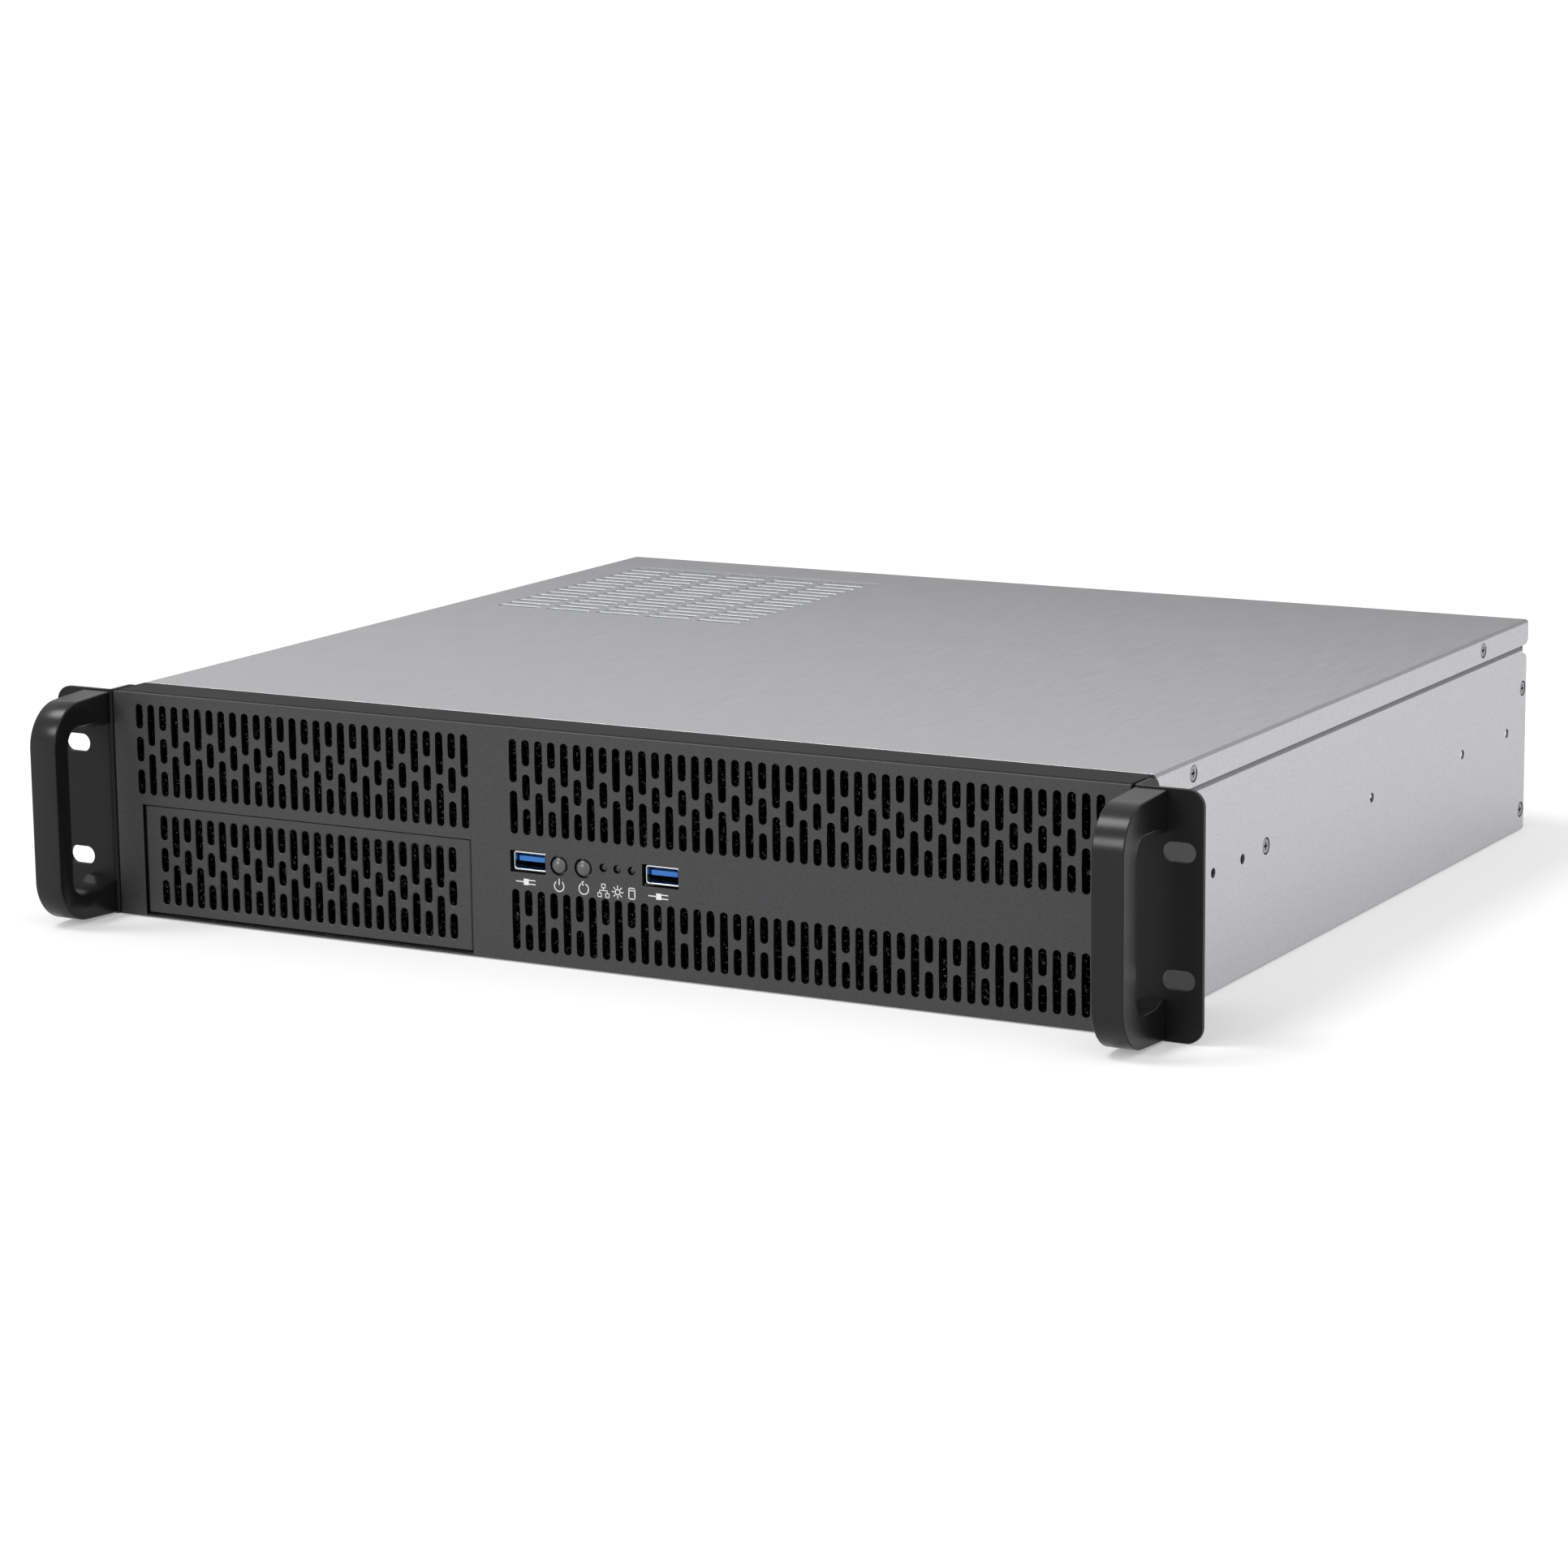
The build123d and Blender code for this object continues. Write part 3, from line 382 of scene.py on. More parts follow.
@dataclass(frozen=True)
class Finish:
    """Surface finish that is made once as a procedural material.

    Attributes:
        name: Name of the material.
        slot: Material slot of the record that it stands for; not used.
        colour: sRGB hex colour.
        roughness: Mean roughness of the surface.
        metallic: One for bare metal.
        ior: Index of refraction.
        sheen: Specular level, 0.5 for a clean surface and less for a dusty or porous one.
        edge: Reflectance of a metal at a flat angle, as a grey from 0 to 1.
    """

    name: str
    slot: str
    colour: str
    roughness: float = 0.5
    metallic: float = 0.0
    ior: float = 1.5
    sheen: float = 0.5
    edge: float = 1.0

    def material(self) -> Material:
        """Makes the material, or gives the one already made."""
        known = bpy.data.materials.get(self.name)
        if known:
            return known
        material = bpy.data.materials.new(self.name)
        material.use_nodes = True
        tree = material.node_tree
        shader = tree.nodes["Principled BSDF"]
        shader.inputs["Base Color"].default_value = linear(self.colour)
        shader.inputs["Roughness"].default_value = self.roughness
        shader.inputs["Metallic"].default_value = self.metallic
        shader.inputs["IOR"].default_value = self.ior
        shader.inputs["Specular IOR Level"].default_value = self.sheen
        shader.inputs["Specular Tint"].default_value = (self.edge, self.edge, self.edge, 1.0)
        place = add_node(tree, "ShaderNodeTexCoord").outputs["Object"]
        self.pattern(tree, shader, place)
        return material

    def pattern(self, tree: NodeTree, shader: Node, place: NodeSocket) -> None:
        """Adds the finish's own pattern to the shader.

        Args:
            tree: Node tree of the material.
            shader: Its surface shader.
            place: Object coordinates, in metres.
        """
        raise NotImplementedError

    def vary(
        self, tree: NodeTree, shader: Node, tops: tuple | None, polish: tuple | None, relief: tuple
    ) -> None:
        """Lets patterns vary the shader's colour, gloss and height.

        Args:
            tree: Node tree of the material.
            shader: Its surface shader.
            tops: Pattern, where its dark ends and its light starts, and the light's colour.
            polish: Pattern, and how far the roughness strays to either side.
            relief: Pattern, or none for the colour's own, its strength and its height in millimetres.
        """
        height, strength, tall = relief
        if tops:
            fac, dark, light, colour = tops
            ramp = add_node(tree, "ShaderNodeValToRGB", {"Fac": fac})
            low, high = ramp.color_ramp.elements
            low.position, low.color = dark, linear(self.colour)
            high.position, high.color = light, linear(colour)
            tree.links.new(ramp.outputs["Color"], shader.inputs["Base Color"])
            height = ramp.outputs["Color"] if height is None else height
        if polish:
            fac, spread = polish
            ends = {"To Min": self.roughness - spread, "To Max": self.roughness + spread}
            gloss = add_node(tree, "ShaderNodeMapRange", {"Value": fac, **ends})
            tree.links.new(gloss.outputs["Result"], shader.inputs["Roughness"])
        bump = add_node(
            tree, "ShaderNodeBump", {"Height": height, "Strength": strength, "Distance": tall * MM}
        )
        tree.links.new(bump.outputs["Normal"], shader.inputs["Normal"])


@dataclass(frozen=True)
class ZincSheet(Finish):
    """Zinc-coated sheet steel, as rolled: satin, with fine crystals and faint rolling lines.

    Attributes:
        light: Colour of the lighter crystals.
        crystal: Width of a crystal in millimetres.
        line: Spacing of the rolling lines, which run front to back.
    """

    light: str = "#a6a7aa"
    crystal: float = 0.8
    line: float = 1.1

    def pattern(self, tree: NodeTree, shader: Node, place: NodeSocket) -> None:
        """Lets crystals vary the colour and the height, and rolling lines the gloss."""
        grain = {"Vector": place, "Scale": per_mm(self.crystal), "Detail": 2.0}
        crystals = add_node(tree, "ShaderNodeTexNoise", grain).outputs["Fac"]
        stretch = add_node(tree, "ShaderNodeMapping", {"Vector": place, "Scale": (1.0, 0.04, 1.0)})
        rolled = {"Vector": stretch.outputs["Vector"], "Scale": per_mm(self.line)}
        lines = add_node(tree, "ShaderNodeTexNoise", rolled).outputs["Fac"]
        self.vary(tree, shader, (crystals, 0.3, 0.7, self.light), (lines, 0.06), (crystals, 0.25, 0.02))


@dataclass(frozen=True)
class PowderCoat(Finish):
    """Baked polyester powder on steel: matt, with a fine even orange peel.

    Attributes:
        grain: Width of the grains in millimetres.
        height: Height of the grains in millimetres.
        light: Colour of the grain tops, a painted highlight.
        patch: Width of the patches of gloss in millimetres.
    """

    grain: float = 0.55
    height: float = 0.03
    light: str = "#3c3c3e"
    patch: float = 35.0

    def pattern(self, tree: NodeTree, shader: Node, place: NodeSocket) -> None:
        """Lets the grains lift the surface and paints a highlight on their tops, and slow patches vary the
        gloss.
        """
        grain = {"Vector": place, "Scale": per_mm(self.grain), "Detail": 3.0}
        grains = add_node(tree, "ShaderNodeTexNoise", grain).outputs["Fac"]
        slow = {"Vector": place, "Scale": per_mm(self.patch)}
        patches = add_node(tree, "ShaderNodeTexNoise", slow).outputs["Fac"]
        # Painted highlight: the grains' tops get the lighter colour
        self.vary(tree, shader, (grains, 0.35, 0.7, self.light), (patches, 0.05), (grains, 0.4, self.height))


@dataclass(frozen=True)
class Moulding(Finish):
    """Injection-moulded plastic: the polish of the mould, with slow flow marks in the gloss.

    Attributes:
        spark: Width of the mould's fine erosion grain in millimetres.
        height: Height of that grain in millimetres.
        flow: Width of the flow marks in millimetres.
    """

    spark: float = 0.4
    height: float = 0.006
    flow: float = 14.0

    def pattern(self, tree: NodeTree, shader: Node, place: NodeSocket) -> None:
        """Lets flow marks vary the gloss and a fine grain break up the highlights."""
        slow = {"Vector": place, "Scale": per_mm(self.flow), "Detail": 1.0}
        marks = add_node(tree, "ShaderNodeTexNoise", slow).outputs["Fac"]
        fine = {"Vector": place, "Scale": per_mm(self.spark)}
        grain = add_node(tree, "ShaderNodeTexNoise", fine).outputs["Fac"]
        self.vary(tree, shader, None, (marks, 0.15 * self.roughness), (grain, 0.3, self.height))


@dataclass(frozen=True)
class OpenCellFoam(Finish):
    """Reticulated polyurethane filter foam: cells in painted shade between thin struts, some of them with a
    painted highlight.

    Attributes:
        glint: Painted highlight colour of the struts that catch the light.
        cell: Width of a cell in millimetres; the real 0.6 mm cells are drawn wider so that they show.
        glint_patch: Width of the patches of struts that get the painted highlight, in millimetres.
    """

    glint: str = "#8c8c90"
    cell: float = 0.7
    glint_patch: float = 1.1

    def pattern(self, tree: NodeTree, shader: Node, place: NodeSocket) -> None:
        """Draws struts where neighbouring cells meet, and paints a highlight on some of them."""
        net = {"Vector": place, "Scale": per_mm(self.cell)}
        cells = add_node(tree, "ShaderNodeTexVoronoi", net, feature="DISTANCE_TO_EDGE")
        thin = {"From Min": 0.03, "From Max": 0.1, "To Min": 1.0, "To Max": 0.0}
        struts = add_node(tree, "ShaderNodeMapRange", {"Value": cells.outputs["Distance"], **thin})
        some = add_node(tree, "ShaderNodeTexNoise", {"Vector": place, "Scale": per_mm(self.glint_patch)})
        few = {"From Min": 0.58, "From Max": 0.72}
        # Painted highlight: only the struts in these patches get the lighter colour
        glint_mask = add_node(tree, "ShaderNodeMapRange", {"Value": some.outputs["Fac"], **few})
        both = {0: struts.outputs["Result"], 1: glint_mask.outputs["Result"]}
        seen = add_node(tree, "ShaderNodeMath", both, operation="MULTIPLY").outputs["Value"]
        self.vary(tree, shader, (seen, 0.0, 1.0, self.glint), None, (struts.outputs["Result"], 0.8, 0.4))


@dataclass(frozen=True)
class Plated(Finish):
    """Plated or turned metal: bright, with fine brushing in one direction.

    Attributes:
        line: Spacing of the brushing in millimetres.
        along: Stretch of the brushing along X, Y and Z.
    """

    line: float = 0.25
    along: tuple[float, float, float] = (1.0, 1.0, 0.1)

    def pattern(self, tree: NodeTree, shader: Node, place: NodeSocket) -> None:
        """Lets the brushing vary the gloss and the height."""
        stretch = add_node(tree, "ShaderNodeMapping", {"Vector": place, "Scale": self.along})
        brushed = {"Vector": stretch.outputs["Vector"], "Scale": per_mm(self.line)}
        lines = add_node(tree, "ShaderNodeTexNoise", brushed).outputs["Fac"]
        self.vary(tree, shader, None, (lines, 0.3 * self.roughness), (lines, 0.2, 0.01))


@dataclass(frozen=True)
class CircuitBoard(Finish):
    """Varnished glass-fibre board: deep green mask over copper runs that show a little lighter.

    Attributes:
        run: Colour over a copper run.
        pitch: Spacing of the runs in millimetres.
    """

    run: str = "#2c7a4c"
    pitch: float = 1.27

    def pattern(self, tree: NodeTree, shader: Node, place: NodeSocket) -> None:
        """Draws straight runs side by side and lifts them by the copper's thickness."""
        wave = {"Vector": place, "Scale": per_mm(self.pitch) / (2 * math.pi), "Distortion": 1.5}
        runs = add_node(tree, "ShaderNodeTexWave", wave, bands_direction="Z").outputs["Fac"]
        self.vary(tree, shader, (runs, 0.55, 0.65, self.run), None, (None, 0.3, 0.035))


# Skin-passed steel has a satin zinc coat: mid grey, with a soft grain that only shows near by
STEEL = ZincSheet("electro_zinc_sheet_satin", "steel", "#c2c2c5", 0.45, 1.0, edge=0.64, light="#cfcfd2")
# Painted shade: the bends to the side flanges get a duller, darker zinc, so that each bend reads as a soft
# dark line
BEND_SHADE_STEEL = ZincSheet("electro_zinc_sheet_painted_bend_shade", "steel", "#a0a0a3", 0.55, 1.0, edge=0.5, light="#aaaaad")
# Painted shade: the leaning strip under the cover's edge gets a darker zinc for the shade under the
# overhanging flange
GROOVE_SHADE_STEEL = ZincSheet("electro_zinc_sheet_painted_groove_shade", "steel", "#8c8c90", 0.6, 1.0, edge=0.4, light="#97979b")
# The slot blanks' zinc is a little darker and glossier than the sheet's
BLANK_STEEL = ZincSheet("electro_zinc_sheet_blank", "blank", "#a2a3a8", 0.36, 1.0, edge=0.7, light="#b2b3b7")
# Polyester powder is matt and nearly black, and its fine grain keeps highlights wide
BLACK_POWDER = PowderCoat("polyester_powder_fine_black", "black_powder", "#2e2e30", 0.5, sheen=0.45)
# Painted shade: the walls of punched holes get a near-black, nearly unreflecting powder, so that the holes
# look black from outside; the powder there is also thin and dull
HOLE_SHADE_POWDER = PowderCoat(
    "polyester_powder_painted_shade_in_holes", "black_powder", "#060606", 0.8, sheen=0.08, light="#0c0c0c"
)
# The frame's powder is duller than the panel's, so that its top stays dark at a flat angle
FRAME_POWDER = PowderCoat(
    "polyester_powder_dull_black", "black_powder", "#141415", 0.62, sheen=0.18, light="#1c1c1d"
)
# The ears' powder is a deeper black
EAR_POWDER = PowderCoat(
    "polyester_powder_deep_black", "black_powder", "#111112", 0.42, sheen=0.2, light="#171719"
)
# Glass-filled nylon from a polished mould is black with a clear, slightly soft highlight
HANDLE_BLACK = Moulding("nylon_moulded_satin_gloss_black", "handle_black", "#141415", 0.25, sheen=0.28)
# Filter foam is a net of black struts round open cells: its near-black colour is the foam's own black and
# painted shade in the cells, and patches of struts get a painted highlight
FILTER_FOAM = OpenCellFoam("polyurethane_foam_open_cell", "foam", "#030303", 0.9, sheen=0.0)
# Punched edges are bright bare steel with a cool tinge
CUT_EDGE = Plated("steel_punched_edge", "steel", "#989c9e", 0.5, 1.0, edge=0.6)
# Turned brass is warm and brushed round its axis
TURNED_BRASS = Plated("brass_turned", "brass", "#c9a25a", 0.3, 1.0)
# Zinc-plated screws are cooler and brighter than the sheet
PLATED_SCREW = Plated("steel_zinc_plated_screw", "screw", "#9fa0a3", 0.34, 1.0, edge=0.6)
# Painted shade: cross recesses and countersink slopes get a near-black zinc for the shade down in them
RECESS_SHADE = Plated("steel_zinc_plated_recess_painted_shade", "screw", "#2b2b2d", 0.5, 1.0, edge=0.4)
# Varnish over solder mask is glossy green
BOARD_GREEN = CircuitBoard("glass_fibre_board_green_mask", "board", "#0f4a2c", 0.25)
# Polished ABS caps show a clear highlight over dark grey
KEY_GREY = Moulding("abs_moulded_gloss_grey", "key", "#3e3e40", 0.3, sheen=1.0, spark=0.5, height=0.002)
# Acetal plungers are white and waxy
PLUNGER_WHITE = Moulding("acetal_moulded_natural", "plunger", "#d9d9d4", 0.4, height=0.004)
# Switch bodies are matt black thermoplastic
SWITCH_BLACK = Moulding("nylon_moulded_matt_black", "switch", "#1d1d1f", 0.55, height=0.01)
# Tin over drawn steel is bright, with faint drawing lines front to back
TIN_PLATE = Plated("steel_drawn_tin_plated", "socket_steel", "#d5d6d8", 0.2, 1.0, along=(1.0, 0.1, 1.0))
# Contact carriers are moulded in a saturated blue thermoplastic
SOCKET_BLUE = Moulding("polyester_moulded_blue", "socket_blue", "#2a78cc", 0.32, spark=0.5, height=0.004)
# Contact carriers are dull black at the back of the shell
SOCKET_DARK = Moulding("polyester_moulded_dull_black", "switch", "#050505", 0.7, sheen=0.1, height=0.01)
# Light guides are clear plastic that looks dark while unlit
LAMP_CLEAR = Moulding("acrylic_moulded_clear_unlit", "lamp", "#2a2b2d", 0.1, ior=1.49, height=0.002)
# Screen ink is opaque white and a little uneven
WHITE_INK = Moulding("screen_ink_white", "key", "#e8e8e6", 0.5, spark=0.6, height=0.004, flow=2.0)


def fit(
    obj: Object, finish: Finish, *nodes: str, body: str = "case", keep: bool = False
) -> Object:
    """Dresses a piece, lets it ride on its body and puts it in place of the solids it stands for.

    Args:
        obj: The finished piece.
        finish: Its finish.
        nodes: Names of the solids it replaces.
        body: Name of the body it moves with.
        keep: Whether the piece already has its materials.

    Returns:
        The same piece.
    """
    if not keep:
        obj.data.materials.clear()
        obj.data.materials.append(finish.material())
    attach(obj, body)
    if nodes:
        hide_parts(*nodes)
    log.info("%s: %s, %d faces", obj.name, finish.name, len(obj.data.polygons))
    return obj


def softened(node: str, name: str, finish: Finish, edge: float, steps: int = 1) -> Object:
    """Softens a copy of a solid's edges and puts it in place of the solid.

    Args:
        node: Name of the solid.
        name: Name of the copy.
        finish: Its finish.
        edge: Width of the rounding.
        steps: Faces across the rounding.

    Returns:
        The copy.
    """
    return fit(edged(merged_copy(node, name), edge, steps), finish, node)


def shade_faces(obj: Object, finish: Finish, test: Test) -> None:
    """Gives the faces that pass a test a finish of their own.

    Args:
        obj: The piece, already dressed.
        finish: Finish of those faces.
        test: Takes a face's middle, as X, depth and Z in millimetres, and its normal.
    """
    obj.data.materials.append(finish.material())
    index = len(obj.data.materials) - 1
    for face in obj.data.polygons:
        if test(from_front(face.center), face.normal):
            face.material_index = index


def shade_holes(obj: Object, finish: Finish, depth: Span, rim: float = 0.6) -> None:
    """Gives the walls of the holes in a plate, between two depths, a finish of their own.

    Args:
        obj: The plate, already dressed.
        finish: Finish of the walls.
        depth: Depth of the plate's front and rear face.
        rim: Width of the strip along the plate's outline that holds no hole.
    """
    xs, _, zs = zip(*(from_front(vert.co) for vert in obj.data.vertices))
    left, right, low, high = min(xs) + rim, max(xs) - rim, min(zs) + rim, max(zs) - rim

    def in_hole(middle: Vector, normal: Vector) -> bool:
        """Whether a face is part of a hole's wall."""
        inside = left < middle.x < right and low < middle.z < high
        return inside and abs(normal.y) < 0.4 and depth[0] < middle.y < depth[1]

    shade_faces(obj, finish, in_hole)


def shade_seats(obj: Object, finish: Finish, places: tuple[Span, ...], reach: float) -> None:
    """Gives the slopes of round countersinks in a side wall a finish of their own.

    Args:
        obj: The wall, already dressed.
        finish: Finish of the slopes.
        places: Depth and Z of each countersink.
        reach: How far a slope lies from its middle at most.
    """

    def on_slope(middle: Vector, normal: Vector) -> bool:
        """Whether a face is part of a countersink's slope or bore."""
        near = any(math.hypot(middle.y - depth, middle.z - z) < reach for depth, z in places)
        return near and (0.05 < abs(normal.x) < 0.95 or math.hypot(normal.y, normal.z) > 0.95)

    shade_faces(obj, finish, on_slope)


def dress(node: str, finish: Finish) -> None:
    """Gives a solid that keeps its own shape its finish."""
    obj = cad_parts[node]
    obj.data.materials.clear()
    obj.data.materials.append(finish.material())
    log.info("%s: %s on the solid", node, finish.name)


def slot_places(span: Span, pitch: float, counts: tuple[int, int], band: Span, web: float) -> list[Slot]:
    """Works out the slots of one grille.

    Args:
        span: Low and high X of the first and last column.
        pitch: Spacing of the columns.
        counts: Slots in the even and in the odd columns.
        band: Low and high Z of the slots.
        web: Metal left between slots above each other.

    Returns:
        X, middle Z and length of each slot.
    """
    slots = []
    columns = int((span[1] - span[0]) / pitch + 0.01) + 1
    for k in range(columns):
        count = counts[k % 2]
        length = (band[1] - band[0] - web * (count - 1)) / count
        for row in range(count):
            slots.append((span[0] + pitch * k, band[0] + length / 2 + (length + web) * row, length))
    return slots


def slot_cutter(slots: list[Slot], width: float, depth: Span) -> Object:
    """Models cutters for round-ended slots that run front to back through a sheet.

    Args:
        slots: X, middle Z and length of each slot.
        width: Width of a slot.
        depth: Low and high depth of the cutters.

    Returns:
        All cutters as one object.
    """
    models = {}
    cutters = []
    for x, z, length in slots:
        key = round(length, 3)
        if key not in models:
            bar = rod("slot_cutter", 0, 0, depth, width / 2, sides=16)
            for side in (-1, 1):
                with picked(bar, "verts", lambda place, normal: place.z * side > 0.01):
                    bpy.ops.transform.translate(value=(0, 0, side * (length - width) / 2 * MM))
            models[key] = bar
        cutters.append(copied(models[key], "slot_cutter", (x, 0, z)))
    for model in models.values():
        bpy.data.objects.remove(model)
    return joined("slot_cutters", cutters)


# Front


@dataclass
class FrontPanel:
    """Perforated front panel of black sheet steel.

    Attributes:
        half_width: Half the panel's width.
        z: Its lowest and highest Z.
        sheet: Its thickness.
        slot_width: Width of a slot.
        pitch: Spacing of the slot columns, on the left and on the right.
        web: Metal left between slots above each other.
        left_span: X of the first and last column over the bay.
        right_span: X of the first and last column on the right.
        upper_band: Low and high Z of the upper grilles' slots.
        lower_band: Low and high Z of the lower grille's slots.
        bay_x: Low and high X of the bay opening.
        bay_z: Low and high Z of the bay opening.
        socket_x: X of the sockets.
        socket_cut: Width and height of a socket's window.
        key_x: X of the power and the reset key.
        key_radius: Radius of a key's hole.
        lamp_x: X of the network, power and disk lamp.
        lamp_radius: Radius of a lamp's hole.
        control_z: Z of the sockets and keys.
        lamp_z: Z of the lamps.
        edge: Rounding of the powder-coated edges.
    """

    half_width: float = 214.3
    z: Span = (0.3, 87.7)
    sheet: float = 1.5
    slot_width: float = 3.4
    pitch: Span = (5.476, 5.5)
    web: float = 3.0
    left_span: Span = (-202.25, -54.4)
    right_span: Span = (-33.2, 203.3)
    upper_band: Span = (48.25, 83.65)
    lower_band: Span = (4.85, 27.65)
    bay_x: Span = (-202.3, -52.3)
    bay_z: Span = (1.0, 44.4)
    socket_x: Span = (-27.65, 28.65)
    socket_cut: Span = (15.2, 8.1)
    key_x: Span = (-14.3, -3.9)
    key_radius: float = 3.7
    lamp_x: tuple[float, float, float] = (4.6, 10.5, 16.6)
    lamp_radius: float = 1.6
    control_z: float = 38.1
    lamp_z: float = 39.1
    edge: float = 0.22

    def slots(self) -> list[Slot]:
        """Works out every slot of the three grilles, as X, middle Z and length."""
        return (
            slot_places(self.left_span, self.pitch[0], (3, 2), self.upper_band, self.web)
            + slot_places(self.right_span, self.pitch[1], (2, 3), self.upper_band, self.web)
            + slot_places(self.right_span, self.pitch[1], (1, 2), self.lower_band, self.web)
        )

    def build(self) -> None:
        """Cuts the slots, the bay, the sockets' windows and the round holes out of a plate."""
        panel = block("front_panel_plate", (-self.half_width, self.half_width), (0, self.sheet), self.z)
        through = (-1, self.sheet + 1)
        cut(panel, block("bay_cutter", self.bay_x, through, self.bay_z))
        for x in self.socket_x:
            cut(panel, about("socket_cutter", (x, self.control_z), self.socket_cut, through))
        rounds = [rod("key_cutter", x, self.control_z, through, self.key_radius) for x in self.key_x]
        rounds += [rod("lamp_cutter", x, self.lamp_z, through, self.lamp_radius, 24) for x in self.lamp_x]
        cut(panel, joined("round_cutters", rounds))
        cut(panel, slot_cutter(self.slots(), self.slot_width, through))
        edged(panel, self.edge, steps=1)
        fit(panel, BLACK_POWDER, "front_panel")
        # Painted shade on the walls of the slots and holes
        shade_holes(panel, HOLE_SHADE_POWDER, (0, self.sheet))


class Symbol(Enum):
    """Signs printed under the sockets, keys and lamps."""

    PLUG = "plug"
    POWER = "power"
    RESET = "reset"
    NETWORK = "network"
    LIGHT = "light"
    DISK = "disk"


@dataclass
class Symbols:
    """White signs printed on the front panel, each of plain bars and rings.

    Attributes:
        z: Z of the signs' middle.
        line: Width of a printed line.
        ink: Thickness of the ink.
        places: Each sign, and the X of its middle.
    """

    z: float = 30.7
    line: float = 0.38
    ink: float = 0.04
    places: tuple[tuple[Symbol, float], ...] = (
        (Symbol.PLUG, -28.2),
        (Symbol.POWER, -14.3),
        (Symbol.RESET, -3.8),
        (Symbol.NETWORK, 4.6),
        (Symbol.LIGHT, 10.6),
        (Symbol.DISK, 16.6),
        (Symbol.PLUG, 28.2),
    )

    def bar(self, x: float, z: float, length: float, turn: float = 0.0, width: float = 0.0) -> Object:
        """Models a straight printed line.

        Args:
            x: X of its middle.
            z: Z of its middle.
            length: Its length.
            turn: Its slope in degrees.
            width: Its width, or none for the usual line.

        Returns:
            The line as a thin block.
        """
        return made(
            bpy.ops.mesh.primitive_cube_add,
            "line",
            size=1,
            location=point(x, -self.ink / 2, z),
            rotation=(0, -math.radians(turn), 0),
            scale=(length * MM, self.ink * MM, (width or self.line) * MM),
        )

    def pair(self, x: float, z: float, shift: Span, length: float, turn: float, width: float) -> list[Object]:
        """Models two printed lines on opposite sides of a middle.

        Args:
            x: X of the middle.
            z: Z of the middle.
            shift: How far the second line lies from the middle, along X and Z.
            length: Length of a line.
            turn: Its slope in degrees.
            width: Its width.

        Returns:
            The two lines.
        """
        return [self.bar(x + side * shift[0], z + side * shift[1], length, turn, width) for side in (-1, 1)]

    def ring(self, x: float, z: float, radius: float, gap: Span = (0, 0), sides: int = 32) -> Object:
        """Models a printed ring, open between two angles.

        Args:
            x: X of its middle.
            z: Z of its middle.
            radius: Its outer radius.
            gap: Start and end of the gap, in degrees from the right.
            sides: Faces round it.

        Returns:
            The ring as a thin band.
        """
        ring = rod("ring", x, z, (-self.ink, 0), radius, sides)
        inner = rod("ring_cutter", x, z, (-1, 1), radius - self.line, sides)
        cut(ring, inner)
        if gap[1] > gap[0]:
            reach = radius + 1
            middle = math.radians(sum(gap) / 2)
            width = 2 * radius * math.sin(math.radians(gap[1] - gap[0]) / 2)
            wedge = made(
                bpy.ops.mesh.primitive_cube_add,
                "gap_cutter",
                size=1,
                location=point(x + reach / 2 * math.cos(middle), 0, z + reach / 2 * math.sin(middle)),
                rotation=(0, -middle, 0),
                scale=(reach * MM, 2 * MM, width * MM),
            )
            cut(ring, wedge)
        return ring

    def sign(self, kind: Symbol, x: float) -> list[Object]:
        """Models one sign about X.

        Args:
            kind: Which sign.
            x: X of its middle.

        Returns:
            Its bars and rings.
        """
        z = self.z
        if kind is Symbol.PLUG:
            return [
                self.bar(x - 3.0, z, 3.4),
                self.bar(x - 0.3, z, 2.2, width=2.3),
                *self.pair(x + 2.2, z, (0, 0.7), 3.0, 0, self.line),
            ]
        if kind is Symbol.POWER:
            return [self.ring(x, z - 0.2, 2.2, (55, 125)), self.bar(x, z + 1.4, 2.4, 90)]
        if kind is Symbol.RESET:
            return [
                self.ring(x, z - 0.2, 2.2, (70, 120)),
                self.bar(x - 0.5, z + 2.2, 1.4, 35),
                self.bar(x - 0.5, z + 1.5, 1.4, -35),
            ]
        if kind is Symbol.NETWORK:
            lines = [self.bar(x, z, 3.6, width=0.3), self.bar(x, z + 0.4, 0.9, 90, 0.3)]
            lines += self.pair(x, z - 0.45, (1.65, 0), 0.9, 90, 0.3)
            for box_x, box_z in ((x, z + 1.7), (x - 1.65, z - 1.7), (x + 1.65, z - 1.7)):
                lines += self.pair(box_x, box_z, (0, 0.7), 1.8, 0, 0.32)
                lines += self.pair(box_x, box_z, (0.75, 0), 1.4, 90, 0.32)
            return lines
        if kind is Symbol.LIGHT:
            reach = 1.95
            turns = [(turn, math.radians(turn)) for turn in range(0, 360, 45)]
            rays = [
                self.bar(x + reach * math.cos(way), z + reach * math.sin(way), 1.0, turn, 0.35)
                for turn, way in turns
            ]
            return rays + [self.ring(x, z, 1.2, sides=20)]
        sides = self.pair(x, z, (1.25, 0), 3.6, 90, 0.4)
        lids = self.pair(x, z, (0, 2.0), 1.7, 0, 0.4)
        slopes = self.pair(x, z, (1.05, 1.85), 0.7, -35, 0.4) + self.pair(x, z, (1.05, -1.85), 0.7, 35, 0.4)
        return sides + lids + slopes + [self.bar(x, z + 1.1, 2.4, width=0.35)]

    def build(self) -> None:
        """Prints every sign."""
        pieces = [piece for kind, x in self.places for piece in self.sign(kind, x)]
        fit(joined("printed_signs", pieces), WHITE_INK)


